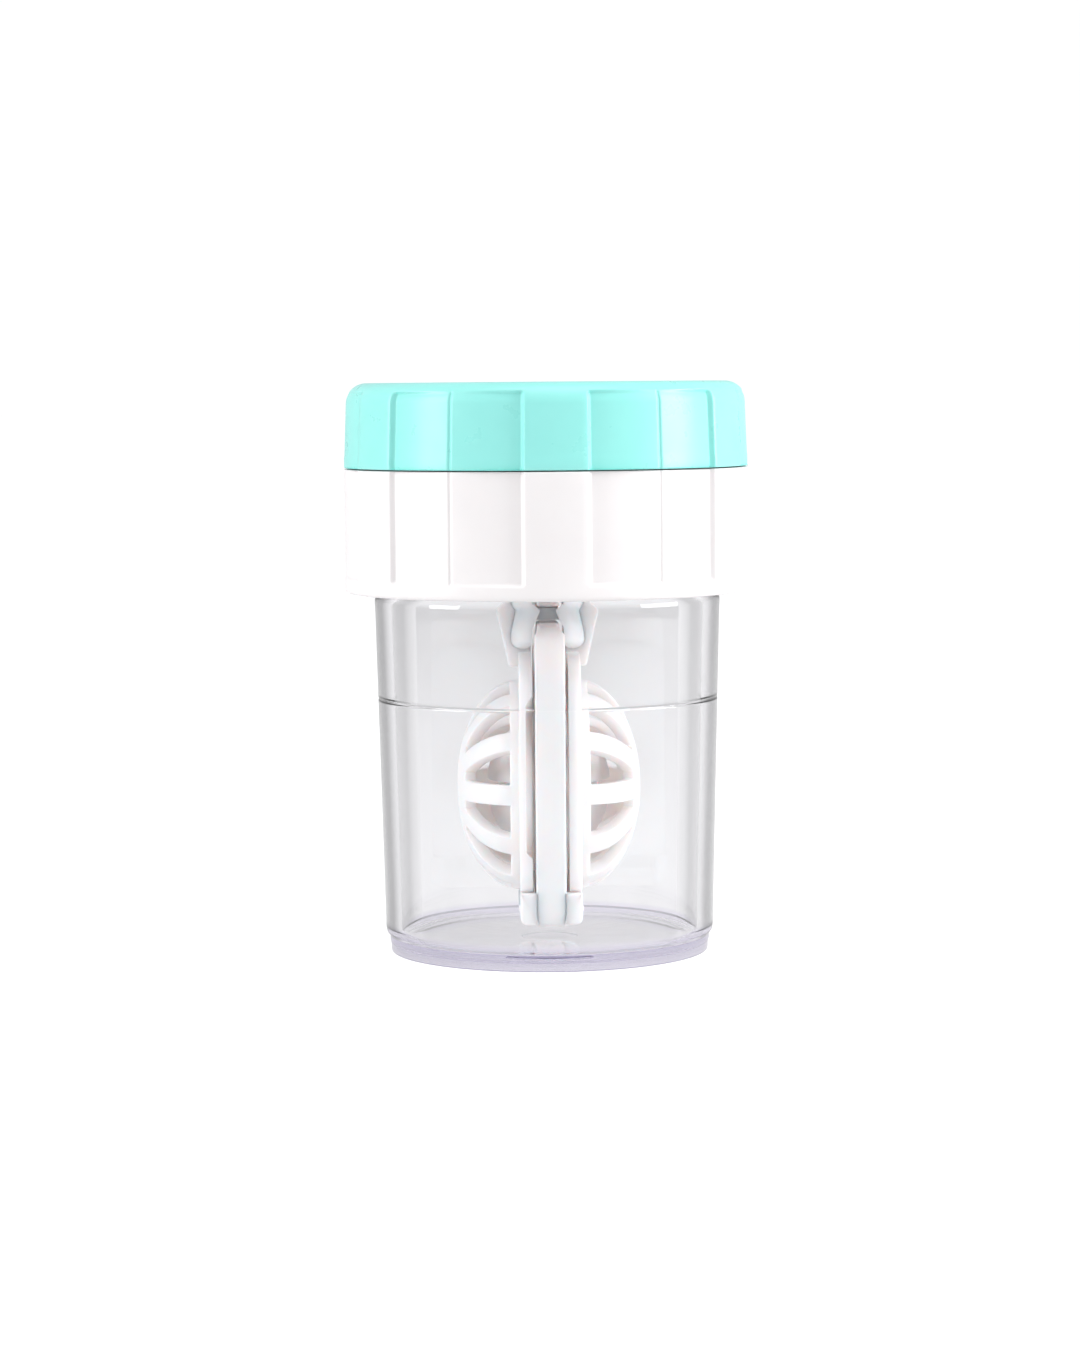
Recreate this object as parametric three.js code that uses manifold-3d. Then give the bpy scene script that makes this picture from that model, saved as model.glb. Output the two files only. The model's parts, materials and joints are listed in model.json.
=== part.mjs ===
// Rotary contact lens case: a clear cup, a screw ring, a turning knob on the ring, and under
// the knob a stem that hangs a lens plate with two hinged cage doors inside the cup.
// Units are millimetres. +Z is up, the origin is the middle of the cup's foot.
// -Y is the front: one grip land of the lid and the front edge of the lens plate face it.

import * as THREE from 'three';
import { mergeVertices } from 'three/addons/utils/BufferGeometryUtils.js';
import Module from 'manifold-3d';

const wasm = await Module();
wasm.setup();

// ---------------------------------------------------------------- driving dimensions

const GAP = 0.3;                 // running or resting gap between two pieces
const ROUND_SIDES = 48;          // sides of a large round piece
const SMALL_SIDES = 20;          // sides of a small round piece

const TOTAL_HEIGHT = 59;
const LID_RADIUS = 20.95;        // over the grip lands
const PARTING_Z = 50.25;         // line between the ring and the knob
const RING_BOTTOM_Z = 37.4;
const GRIP_BOTTOM_Z = 39;        // lower end of the grip panels
const GRIP_TOP_Z = 57.8;         // upper end of the grip panels
const GRIP_LANDS = 6;
const LAND_ANGLE = 18.6;         // degrees of each plain land
const PANEL_DEPTH = 0.5;         // a grip panel beside a land
const CREASE_DEPTH = 0.05;       // the crease where two panels meet

const CUP_WALL = 1.7;
const CUP_FOOT_RADIUS = 16.7;
const CUP_LOW_RADIUS = 17.1;     // just over the rounded base
const CUP_LINE_RADIUS = 17.5;    // just under the fill line
const CUP_TOP_RADIUS = 17.9;     // just under the neck
const FILL_LINE_Z = 26.4;
const FILL_LINE_STEP = 0.12;
const FLOOR_Z = 1.7;
const SHOULDER_Z = 36.8;
const NECK_RADIUS = 17.6;
const NECK_BORE = 16.15;
const CUP_HEIGHT = 47.4;
const GATE_RECESS_RADIUS = 2.9;
const GATE_RECESS_DEPTH = 0.4;
const FOOT_STEP_Z = 1.15;        // height of the narrower foot
const FOOT_ROUND = 0.5;
const FLOOR_ROUND = 2;           // inside corner between floor and wall
const NECK_STEP = 0.9;           // height of the cone between shoulder and neck
const RIM_CHAMFER = 0.4;

const THREAD_STARTS = 3;
const THREAD_LEAD = 8.1;         // rise in one whole turn
const THREAD_RIB_RADIUS = 0.45;
const CUP_THREAD_Z = 40.2;
const CUP_THREAD_ANGLE = 150;
const RING_THREAD_Z = 41.5;
const RING_THREAD_ANGLE = 100;
const RING_BORE = 18.8;
const RIB_SINK = 0.15;           // how far a thread rib's middle lies inside its wall
const RING_LEAD_IN = 0.3;        // chamfer at the mouth of the ring
const RING_FOOT_ROUND = 0.8;

const GASKET_THICKNESS = 0.7;
const DECK_UNDER_Z = CUP_HEIGHT + GAP + GASKET_THICKNESS + GAP;
const DECK_TOP_Z = PARTING_Z - GAP / 2;
const COLLAR_RADIUS = 18.5;
const COLLAR_TOP_Z = 52.9;
const COLLAR_WALL = 1.2;
const SNAP_BEAD = 0.35;          // the knob's bead hooks under this one
const SNAP_BEAD_DROP = 0.8;      // from the collar's top to the bead
const BEARING_BORE = 3.4;
const BEARING_OUTER = 5.4;
const BEARING_BOTTOM_Z = 43.6;

const KNOB_SKIRT_BORE = 19.2;
const KNOB_ROOF_Z = 57.2;
const KNOB_HUB_RADIUS = 4.6;
const KNOB_HUB_BOTTOM_Z = 51.2;
const KNOB_EDGE_RADIUS = 2.2;
const KNOB_DRAFT = 0.25;         // the knob's wall leans in by this at the top
const KNOB_CORNER = 0.8;         // chamfer between the roof and the skirt inside
const KNOB_BEAD = 0.4;
const KNOB_BEAD_RISE = 0.8;      // from the skirt's edge to the bead
const DRIVE_SQUARE = 4;          // side of the stem's square end

const STEM_RADIUS = 3.1;
const STEM_FLANGE_RADIUS = 5.4;
const STEM_FLANGE_TOP_Z = BEARING_BOTTOM_Z - GAP;
const SEAL_Z = 46;
const SEAL_TUBE = 0.55;
const SEAL_GROOVE_RADIUS = 2.2;
const SEAL_GROOVE_HALF = 0.7;
const STEM_NECK_RADIUS = 3;      // the narrowest place, over the fork
const STEM_NECK_Z = 38.4;
const STEM_SHOULDER_RADIUS = 3.4;
const STEM_SHOULDER_Z = 41;
const STEM_FLANGE_HEIGHT = 0.9;
const STEM_SIDES = 28;
const FORK_RADIUS = 3.9;
const FORK_TIP_Z = 32.1;
const FORK_NOTCH_Z = 37.2;       // apex of the notch over the plate's head
const WEB_THICKNESS = 1.2;
const WEB_TOP_HALF = 5.8;
const WEB_LOW_HALF = 4.15;
const WEB_LOW_Z = 29.4;
const WEB_TOP_Z = 40.4;
const WEB_ROOT_Z = 42;           // where the webs meet the shaft

const PLATE_THICKNESS = 3;
const PLATE_HALF_WIDTH = 12;
const PLATE_BOTTOM_Z = 3.9;
const PLATE_TOP_Z = 34.4;
const PLATE_CORNER = 1.5;
const PLATE_BEVEL = 0.5;         // the head of the plate is narrower by this on each side
const PLATE_BEVEL_HEIGHT = 0.9;
const SEAT_Z = 17.3;             // height of the lens chambers' middle
const SEAT_RING_RADIUS = 9;
const SEAT_RING_WIDTH = 0.8;
const SEAT_RING_HEIGHT = 0.5;
const REST_BALL = 8;             // curve of the dome that a lens lies on
const REST_RADIUS = 7.4;         // of the dome's foot on the plate
const REST_GROOVE = 1.3;         // width and depth of the rinse grooves over the dome
const ROOT = 0.2;                // how deep a raised feature is set into its wall

const DOOR_INNER_X = PLATE_THICKNESS / 2 + GAP;
const DOOR_THICKNESS = 1.25;
const DOOR_OUTER_X = DOOR_INNER_X + DOOR_THICKNESS;
const DOOR_HALF_WIDTH = 11.8;
const DOOR_TOP_Z = 31.4;
const DOOR_CORNER = 3.2;
const DOOR_NOTCH_RADIUS = 4.9;   // clears the stem's webs and fork
const DOOR_NOTCH_RISE = 2.6;     // from the door's top to the notch's middle
const HINGE_X = 2.5;
const HINGE_Z = 5.7;
const HINGE_RADIUS = 0.72;
const HINGE_PIN_RADIUS = 0.4;
const HINGE_PIN_REACH = 11.3;
const HINGE_HOLE_RADIUS = 0.54;
const HINGE_HOLE_REACH = 11.55;  // the hole stops short of the ear's outer face
const HINGE_EAR_WIDTH = 1.2;
const HINGE_EAR_LOW_Z = 4.2;
const HINGE_EAR_HIGH_Z = 7.3;
const HINGE_EAR_X = 3.25;
const HINGE_EAR_ROUND = 0.9;
const CHANNEL_DEPTH = 0.6;       // rinse channel across the left door's inner face
const CHANNEL_LOW_Z = 11.2;
const CHANNEL_HIGH_Z = 26.6;
const CAGE_RADIUS = 10.9;
const CAGE_DEPTH = 6.55;
const CAGE_WALL = 1.5;
const CAGE_RIBS = 12;
const CAGE_RIB_WIDTH = 2.1;
const CAGE_RIM = 0.9;            // solid rim between the frame and the windows
const CAGE_HUB_RADIUS = 5.7;
const CAGE_HUB_HOLE = 2;

// ---------------------------------------------------------------- materials

const clearPlastic = new THREE.MeshStandardMaterial({ color: 0xe4e6ee, roughness: 0.05, metalness: 0 });
const whitePlastic = new THREE.MeshStandardMaterial({ color: 0xf6f2f1, roughness: 0.35, metalness: 0 });
const mintPlastic = new THREE.MeshStandardMaterial({ color: 0x9beee4, roughness: 0.3, metalness: 0 });
const milkyPlastic = new THREE.MeshStandardMaterial({ color: 0xf4ecea, roughness: 0.4, metalness: 0 });
const silicone = new THREE.MeshStandardMaterial({ color: 0xe9e6e0, roughness: 0.7, metalness: 0 });

// ---------------------------------------------------------------- solids from geometries

// A closed three.js geometry as a manifold solid: shared corners merged, slivers at poles dropped.
function solidOf(geometry) {
  geometry.deleteAttribute('normal');
  geometry.deleteAttribute('uv');
  const merged = mergeVertices(geometry, 1e-5);
  const index = merged.index.array;
  const kept = [];
  for (let i = 0; i < index.length; i += 3) {
    const [a, b, c] = [index[i], index[i + 1], index[i + 2]];
    if (a !== b && b !== c && c !== a) {
      kept.push(a, b, c);
    }
  }
  const vertProperties = new Float32Array(merged.attributes.position.array);
  const triVerts = new Uint32Array(kept);
  return new wasm.Manifold(new wasm.Mesh({ numProp: 3, vertProperties, triVerts }));
}

function meshOf(name, solid, material) {
  const { vertProperties, triVerts } = solid.getMesh();
  const geometry = new THREE.BufferGeometry();
  geometry.setAttribute('position', new THREE.BufferAttribute(new Float32Array(vertProperties), 3));
  geometry.setIndex(new THREE.BufferAttribute(new Uint32Array(triVerts), 1));
  geometry.computeVertexNormals();
  const mesh = new THREE.Mesh(geometry, material);
  mesh.name = name;
  return mesh;
}

// A body of revolution about Z. The outline runs (radius, z), anticlockwise.
function turned(outline, sides = ROUND_SIDES) {
  return solidOf(new THREE.LatheGeometry(outline, sides).rotateX(Math.PI / 2));
}

// A ring or a rod about Z between two heights.
function tube(outer, inner, lowZ, highZ, sides = ROUND_SIDES) {
  const outline = [[inner, lowZ], [outer, lowZ], [outer, highZ], [inner, highZ]];
  if (inner > 0) {
    outline.push([inner, lowZ]);
  }
  return turned(outline.map(([r, z]) => new THREE.Vector2(r, z)), sides);
}

// A shape drawn in the XY plane, raised from lowZ to highZ.
function raised(shape, lowZ, highZ, curveSegments = 6) {
  const geometry = new THREE.ExtrudeGeometry(shape, {
    depth: highZ - lowZ, bevelEnabled: false, curveSegments,
  });
  return solidOf(geometry.translate(0, 0, lowZ));
}

// A shape drawn with its first axis along Y and its second along Z, from lowX to highX.
function acrossX(shape, lowX, highX, curveSegments = 6) {
  const geometry = new THREE.ExtrudeGeometry(shape, {
    depth: highX - lowX, bevelEnabled: false, curveSegments,
  });
  const turn = new THREE.Matrix4().set(0, 0, 1, lowX, 1, 0, 0, 0, 0, 1, 0, 0, 0, 0, 0, 1);
  return solidOf(geometry.applyMatrix4(turn));
}

// A shape drawn with its first axis along X and its second along Z, from -halfY to halfY.
function acrossY(shape, halfY) {
  const geometry = new THREE.ExtrudeGeometry(shape, { depth: 2 * halfY, bevelEnabled: false });
  return solidOf(geometry.rotateX(Math.PI / 2).translate(0, halfY, 0));
}

function box(lowX, highX, lowY, highY, lowZ, highZ) {
  const geometry = new THREE.BoxGeometry(highX - lowX, highY - lowY, highZ - lowZ);
  return solidOf(geometry.translate((lowX + highX) / 2, (lowY + highY) / 2, (lowZ + highZ) / 2));
}

// A rod along Y.
function rodY(radius, x, z, lowY, highY, sides = SMALL_SIDES) {
  const geometry = new THREE.CylinderGeometry(radius, radius, highY - lowY, sides);
  return solidOf(geometry.translate(x, (lowY + highY) / 2, z));
}

function polygon(points) {
  return new THREE.Shape(points.map(([a, b]) => new THREE.Vector2(a, b)));
}

// A rectangle with round corners: wide from -half to half, tall from low to high.
function roundedPanel(half, low, high, corner) {
  const shape = new THREE.Shape();
  shape.moveTo(-half + corner, low);
  shape.lineTo(half - corner, low);
  shape.absarc(half - corner, low + corner, corner, -Math.PI / 2, 0);
  shape.lineTo(half, high - corner);
  shape.absarc(half - corner, high - corner, corner, 0, Math.PI / 2);
  shape.lineTo(-half + corner, high);
  shape.absarc(-half + corner, high - corner, corner, Math.PI / 2, Math.PI);
  shape.lineTo(-half, low + corner);
  shape.absarc(-half + corner, low + corner, corner, Math.PI, 1.5 * Math.PI);
  return shape;
}

// ---------------------------------------------------------------- grip panels and threads

// The radius of a grip panel, which slopes from the crease down to the land's side.
// along runs from 0 at the land to 1 at the crease.
function panelRadius(along) {
  return LID_RADIUS - PANEL_DEPTH + (PANEL_DEPTH - CREASE_DEPTH) * along;
}

// What is cut away between two lands: two panels that meet at a crease.
function gripCutter(middleAngle, lowZ, highZ) {
  const halfSpan = 180 / GRIP_LANDS - LAND_ANGLE / 2;
  const steps = [-1, -0.67, -0.33, 0, 0.33, 0.67, 1];
  const points = steps.map((step) => {
    const angle = THREE.MathUtils.degToRad(middleAngle + step * halfSpan);
    const radius = panelRadius(1 - Math.abs(step));
    return [radius * Math.cos(angle), radius * Math.sin(angle)];
  });
  const outside = LID_RADIUS + 2;
  for (const step of [1, 0, -1]) {
    const angle = THREE.MathUtils.degToRad(middleAngle + step * halfSpan);
    points.push([outside * Math.cos(angle), outside * Math.sin(angle)]);
  }
  return raised(polygon(points.reverse()), lowZ, highZ);
}

function cutGrip(solid, lowZ, highZ) {
  let cut = solid;
  for (let i = 0; i < GRIP_LANDS; i += 1) {
    const middleAngle = -90 + (i + 0.5) * (360 / GRIP_LANDS);
    cut = cut.subtract(gripCutter(middleAngle, lowZ, highZ));
  }
  return cut;
}

class ThreadCurve extends THREE.Curve {
  constructor(radius, lowZ, startAngle, sweep) {
    super();
    Object.assign(this, { radius, lowZ, startAngle, sweep });
  }

  getPoint(t, target = new THREE.Vector3()) {
    const angle = THREE.MathUtils.degToRad(this.startAngle + t * this.sweep);
    const z = this.lowZ + (t * this.sweep * THREAD_LEAD) / 360;
    return target.set(this.radius * Math.cos(angle), this.radius * Math.sin(angle), z);
  }
}

// One round rib that climbs a right-hand helix.
function threadRib(radius, lowZ, startAngle, sweep) {
  const section = new THREE.Shape();
  section.absarc(0, 0, THREAD_RIB_RADIUS, 0, 2 * Math.PI);
  const geometry = new THREE.ExtrudeGeometry(section, {
    steps: Math.round(sweep / 10),
    curveSegments: 3,
    extrudePath: new ThreadCurve(radius, lowZ, startAngle, sweep),
  });
  return solidOf(geometry);
}

function addThread(solid, radius, lowZ, firstAngle, sweep) {
  let threaded = solid;
  for (let i = 0; i < THREAD_STARTS; i += 1) {
    threaded = threaded.add(threadRib(radius, lowZ, firstAngle + (i * 360) / THREAD_STARTS, sweep));
  }
  return threaded;
}

// ---------------------------------------------------------------- cup and rim gasket

function cup() {
  const outline = new THREE.Path();
  const innerLow = CUP_LOW_RADIUS - CUP_WALL;
  outline.moveTo(0, GATE_RECESS_DEPTH);
  outline.lineTo(GATE_RECESS_RADIUS, GATE_RECESS_DEPTH);
  outline.lineTo(GATE_RECESS_RADIUS, 0);
  outline.lineTo(CUP_FOOT_RADIUS - FOOT_ROUND, 0);
  outline.absarc(CUP_FOOT_RADIUS - FOOT_ROUND, FOOT_ROUND, FOOT_ROUND, -Math.PI / 2, 0);
  outline.lineTo(CUP_FOOT_RADIUS, FOOT_STEP_Z);
  outline.quadraticCurveTo(CUP_LOW_RADIUS, FOOT_STEP_Z, CUP_LOW_RADIUS, 2 * FOOT_STEP_Z);
  outline.lineTo(CUP_LINE_RADIUS, FILL_LINE_Z);
  outline.lineTo(CUP_LINE_RADIUS + FILL_LINE_STEP, FILL_LINE_Z + FILL_LINE_STEP);
  outline.lineTo(CUP_TOP_RADIUS, SHOULDER_Z);
  outline.lineTo(NECK_RADIUS, SHOULDER_Z + NECK_STEP);
  outline.lineTo(NECK_RADIUS, CUP_HEIGHT - RIM_CHAMFER);
  outline.lineTo(NECK_RADIUS - RIM_CHAMFER, CUP_HEIGHT);
  outline.lineTo(NECK_BORE, CUP_HEIGHT);
  outline.lineTo(CUP_TOP_RADIUS - CUP_WALL, SHOULDER_Z);
  outline.lineTo(innerLow, FLOOR_Z + FLOOR_ROUND);
  outline.quadraticCurveTo(innerLow, FLOOR_Z, innerLow - FLOOR_ROUND, FLOOR_Z);
  outline.lineTo(0, FLOOR_Z);
  const body = turned(outline.getPoints(4));
  const ribCircle = NECK_RADIUS + THREAD_RIB_RADIUS - RIB_SINK;
  return addThread(body, ribCircle, CUP_THREAD_Z, 0, CUP_THREAD_ANGLE);
}

function rimGasket() {
  const lowZ = CUP_HEIGHT + GAP;
  return tube(RING_BORE - 2 * GAP, NECK_BORE, lowZ, lowZ + GASKET_THICKNESS);
}

// ---------------------------------------------------------------- screw ring

function screwRing() {
  const outline = new THREE.Path();
  const foot = RING_FOOT_ROUND;
  const beadZ = COLLAR_TOP_Z - SNAP_BEAD_DROP;
  outline.moveTo(BEARING_BORE, BEARING_BOTTOM_Z);
  outline.lineTo(BEARING_OUTER, BEARING_BOTTOM_Z);
  outline.lineTo(BEARING_OUTER, DECK_UNDER_Z);
  outline.lineTo(RING_BORE, DECK_UNDER_Z);
  outline.lineTo(RING_BORE, RING_BOTTOM_Z + RING_LEAD_IN);
  outline.lineTo(RING_BORE + RING_LEAD_IN, RING_BOTTOM_Z);
  outline.lineTo(LID_RADIUS - foot, RING_BOTTOM_Z);
  outline.absarc(LID_RADIUS - foot, RING_BOTTOM_Z + foot, foot, -Math.PI / 2, 0);
  outline.lineTo(LID_RADIUS, DECK_TOP_Z);
  outline.lineTo(COLLAR_RADIUS, DECK_TOP_Z);
  outline.lineTo(COLLAR_RADIUS, beadZ - SNAP_BEAD);
  outline.lineTo(COLLAR_RADIUS + SNAP_BEAD, beadZ);
  outline.lineTo(COLLAR_RADIUS, COLLAR_TOP_Z);
  outline.lineTo(COLLAR_RADIUS - COLLAR_WALL, COLLAR_TOP_Z);
  outline.lineTo(COLLAR_RADIUS - COLLAR_WALL, DECK_TOP_Z);
  outline.lineTo(BEARING_BORE, DECK_TOP_Z);
  outline.lineTo(BEARING_BORE, BEARING_BOTTOM_Z);
  const body = cutGrip(turned(outline.getPoints(3)), GRIP_BOTTOM_Z, PARTING_Z + 1);
  // Each ring rib starts half way between two cup ribs at the same height.
  const halfStart = 180 / THREAD_STARTS;
  const threadStart = (360 * (RING_THREAD_Z - CUP_THREAD_Z)) / THREAD_LEAD - halfStart;
  const ribCircle = RING_BORE - THREAD_RIB_RADIUS + RIB_SINK;
  return addThread(body, ribCircle, RING_THREAD_Z, threadStart, RING_THREAD_ANGLE);
}

// ---------------------------------------------------------------- knob

function knob() {
  const skirtBottom = PARTING_Z + GAP / 2;
  const edge = KNOB_EDGE_RADIUS;
  const topRadius = LID_RADIUS - KNOB_DRAFT;
  const beadZ = skirtBottom + KNOB_BEAD_RISE;
  const outline = new THREE.Path();
  outline.moveTo(0, KNOB_HUB_BOTTOM_Z);
  outline.lineTo(KNOB_HUB_RADIUS, KNOB_HUB_BOTTOM_Z);
  outline.lineTo(KNOB_HUB_RADIUS, KNOB_ROOF_Z);
  outline.lineTo(KNOB_SKIRT_BORE - KNOB_CORNER, KNOB_ROOF_Z);
  outline.lineTo(KNOB_SKIRT_BORE, KNOB_ROOF_Z - KNOB_CORNER);
  outline.lineTo(KNOB_SKIRT_BORE, beadZ + KNOB_BEAD);
  outline.lineTo(KNOB_SKIRT_BORE - KNOB_BEAD, beadZ);
  outline.lineTo(KNOB_SKIRT_BORE, skirtBottom);
  outline.lineTo(LID_RADIUS, skirtBottom);
  outline.lineTo(topRadius, TOTAL_HEIGHT - edge);
  outline.absarc(topRadius - edge, TOTAL_HEIGHT - edge, edge, 0, Math.PI / 2);
  outline.lineTo(0, TOTAL_HEIGHT);
  const half = DRIVE_SQUARE / 2 + GAP;
  const socket = box(-half, half, -half, half, KNOB_HUB_BOTTOM_Z - 1, KNOB_ROOF_Z);
  return cutGrip(turned(outline.getPoints(5)), PARTING_Z - 1, GRIP_TOP_Z).subtract(socket);
}

// ---------------------------------------------------------------- stem and its seal

// Shaft, flange and fork as one turned body, with the groove of the seal.
function stemBody() {
  const outline = new THREE.Path();
  outline.moveTo(0, FORK_TIP_Z);
  outline.lineTo(FORK_RADIUS - 0.5, FORK_TIP_Z);
  outline.quadraticCurveTo(FORK_RADIUS + 0.1, FORK_TIP_Z + 1.6, FORK_RADIUS - 0.3, 35.2);
  outline.lineTo(STEM_NECK_RADIUS, STEM_NECK_Z);
  outline.lineTo(STEM_SHOULDER_RADIUS, STEM_SHOULDER_Z);
  outline.lineTo(STEM_FLANGE_RADIUS, STEM_FLANGE_TOP_Z - STEM_FLANGE_HEIGHT);
  outline.lineTo(STEM_FLANGE_RADIUS, STEM_FLANGE_TOP_Z);
  outline.lineTo(STEM_RADIUS, STEM_FLANGE_TOP_Z);
  outline.lineTo(STEM_RADIUS, SEAL_Z - SEAL_GROOVE_HALF);
  outline.lineTo(SEAL_GROOVE_RADIUS, SEAL_Z - SEAL_GROOVE_HALF);
  outline.lineTo(SEAL_GROOVE_RADIUS, SEAL_Z + SEAL_GROOVE_HALF);
  outline.lineTo(STEM_RADIUS, SEAL_Z + SEAL_GROOVE_HALF);
  outline.lineTo(STEM_RADIUS, KNOB_HUB_BOTTOM_Z - GAP);
  outline.lineTo(0, KNOB_HUB_BOTTOM_Z - GAP);
  return turned(outline.getPoints(4), STEM_SIDES);
}

// Two webs that taper from the flange down beside the fork.
function stemWeb() {
  const outline = polygon([
    [-WEB_LOW_HALF, WEB_LOW_Z], [WEB_LOW_HALF, WEB_LOW_Z],
    [WEB_TOP_HALF, RING_BOTTOM_Z], [WEB_TOP_HALF, WEB_TOP_Z], [STEM_NECK_RADIUS, WEB_ROOT_Z],
    [-STEM_NECK_RADIUS, WEB_ROOT_Z], [-WEB_TOP_HALF, WEB_TOP_Z], [-WEB_TOP_HALF, RING_BOTTOM_Z],
  ]);
  return acrossY(outline, WEB_THICKNESS / 2);
}

// The notch takes the plate's head, and runs up to an apex over it.
function forkNotch() {
  const half = PLATE_THICKNESS / 2 + GAP;
  const shoulderZ = PLATE_TOP_Z - 2 * GAP;
  const outline = polygon([
    [-half, WEB_LOW_Z - 1], [half, WEB_LOW_Z - 1], [half, shoulderZ], [0, FORK_NOTCH_Z],
    [-half, shoulderZ],
  ]);
  return acrossY(outline, FORK_RADIUS + 2);
}

// The web is slotted only for the plate's head, so it closes the middle of the notch.
function webSlot() {
  const half = PLATE_THICKNESS / 2 + GAP;
  return box(-half, half, -WEB_THICKNESS, WEB_THICKNESS, WEB_LOW_Z - 1, PLATE_TOP_Z + GAP);
}

function stem() {
  const half = DRIVE_SQUARE / 2;
  const drive = box(-half, half, -half, half, KNOB_HUB_BOTTOM_Z - 2, KNOB_ROOF_Z - GAP);
  const fork = stemBody().subtract(forkNotch());
  return fork.add(stemWeb().subtract(webSlot())).add(drive);
}

function stemSeal() {
  const outline = new THREE.Path();
  outline.absarc(STEM_RADIUS - GAP, SEAL_Z, SEAL_TUBE, 0, 2 * Math.PI);
  return turned(outline.getPoints(4), STEM_SIDES);
}

// ---------------------------------------------------------------- lens plate

function ringY(outer, inner, lowX, highX) {
  const shape = new THREE.Shape();
  shape.absarc(0, SEAT_Z, outer, 0, 2 * Math.PI);
  const hole = new THREE.Path();
  hole.absarc(0, SEAT_Z, inner, 0, 2 * Math.PI);
  shape.holes.push(hole);
  return acrossX(shape, lowX, highX, 16);
}

// The dome that a lens lies on: a slice of a ball on the plate's face, with two crossed grooves.
function lensRest() {
  const face = PLATE_THICKNESS / 2;
  const sunk = Math.sqrt(REST_BALL ** 2 - REST_RADIUS ** 2);
  const geometry = new THREE.SphereGeometry(REST_BALL, 32, 24);
  const ball = solidOf(geometry.translate(face - sunk, 0, SEAT_Z));
  const reach = REST_RADIUS + 1;
  const half = REST_GROOVE / 2;
  const top = face + REST_BALL - sunk;
  return ball
    .intersect(box(face - ROOT, top + 1, -reach, reach, SEAT_Z - reach, SEAT_Z + reach))
    .subtract(box(top - REST_GROOVE, top + 1, -reach, reach, SEAT_Z - half, SEAT_Z + half))
    .subtract(box(top - REST_GROOVE, top + 1, -half, half, SEAT_Z - reach, SEAT_Z + reach));
}

// The ear that carries one end of a door's hinge, with a blind hole for the pin.
function hingeEar(side) {
  const face = PLATE_THICKNESS / 2;
  const outline = new THREE.Shape();
  outline.moveTo(face - ROOT, HINGE_EAR_LOW_Z);
  outline.lineTo(HINGE_EAR_X - HINGE_EAR_ROUND, HINGE_EAR_LOW_Z);
  outline.absarc(HINGE_EAR_X - HINGE_EAR_ROUND, HINGE_EAR_LOW_Z + HINGE_EAR_ROUND,
    HINGE_EAR_ROUND, -Math.PI / 2, 0);
  outline.lineTo(HINGE_EAR_X, HINGE_EAR_HIGH_Z);
  outline.lineTo(face - ROOT, HINGE_EAR_HIGH_Z);
  const middle = side * (PLATE_HALF_WIDTH - HINGE_EAR_WIDTH / 2);
  const lug = acrossY(polygon(outline.getPoints(3).map((p) => [p.x, p.y])), HINGE_EAR_WIDTH / 2);
  return lug
    .translate([0, middle, 0])
    .subtract(rodY(HINGE_HOLE_RADIUS, HINGE_X, HINGE_Z, -HINGE_HOLE_REACH, HINGE_HOLE_REACH, 12));
}

// The plate as seen from the front, with its head bevelled on both sides.
function plateHead() {
  const half = PLATE_THICKNESS / 2;
  const bevelZ = PLATE_TOP_Z - PLATE_BEVEL_HEIGHT;
  const outline = polygon([
    [-half, 0], [half, 0], [half, bevelZ], [half - PLATE_BEVEL, PLATE_TOP_Z],
    [-half + PLATE_BEVEL, PLATE_TOP_Z], [-half, bevelZ],
  ]);
  return acrossY(outline, PLATE_HALF_WIDTH);
}

function lensPlate() {
  const outline = roundedPanel(PLATE_HALF_WIDTH, PLATE_BOTTOM_Z, PLATE_TOP_Z, PLATE_CORNER);
  const half = PLATE_THICKNESS / 2;
  const plate = acrossX(outline, -half, half, 3).intersect(plateHead());
  const inner = SEAT_RING_RADIUS - SEAT_RING_WIDTH;
  const side = ringY(SEAT_RING_RADIUS, inner, half - ROOT, half + SEAT_RING_HEIGHT)
    .add(lensRest())
    .add(hingeEar(1))
    .add(hingeEar(-1));
  return plate.add(side).add(side.mirror([1, 0, 0]));
}

// ---------------------------------------------------------------- cage doors

// The hollow cage: an egg-shaped shell standing on the door's frame, open towards the plate.
function cageShell() {
  const shell = (depth, radius) => {
    const geometry = new THREE.SphereGeometry(1, 32, 20);
    geometry.rotateZ(Math.PI / 2).scale(depth, radius, radius);
    return solidOf(geometry.translate(DOOR_OUTER_X, 0, SEAT_Z));
  };
  return {
    outer: shell(CAGE_DEPTH, CAGE_RADIUS),
    inner: shell(CAGE_DEPTH - CAGE_WALL, CAGE_RADIUS - CAGE_WALL),
  };
}

// One window between two ribs, seen along X: straight beside the ribs, round at the hub.
function cageWindow(index) {
  const step = (2 * Math.PI) / CAGE_RIBS;
  const half = CAGE_RIB_WIDTH / 2;
  const reach = CAGE_RADIUS + 2;
  const edge = Math.asin(half / CAGE_HUB_RADIUS);
  const corner = new THREE.Vector2(reach, half);
  const farCorner = new THREE.Vector2(reach, -half).rotateAround(new THREE.Vector2(), step);
  const shape = new THREE.Shape();
  shape.moveTo(CAGE_HUB_RADIUS * Math.cos(edge), CAGE_HUB_RADIUS * Math.sin(edge));
  shape.lineTo(corner.x, corner.y);
  shape.lineTo(reach, reach * Math.tan(step / 2));
  shape.lineTo(farCorner.x, farCorner.y);
  shape.absarc(0, 0, CAGE_HUB_RADIUS, step - edge, edge, true);
  const turn = (point) => point.rotateAround(new THREE.Vector2(), index * step);
  return polygon(shape.getPoints(2).map(turn).map((point) => [point.x, point.y + SEAT_Z]));
}

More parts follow.
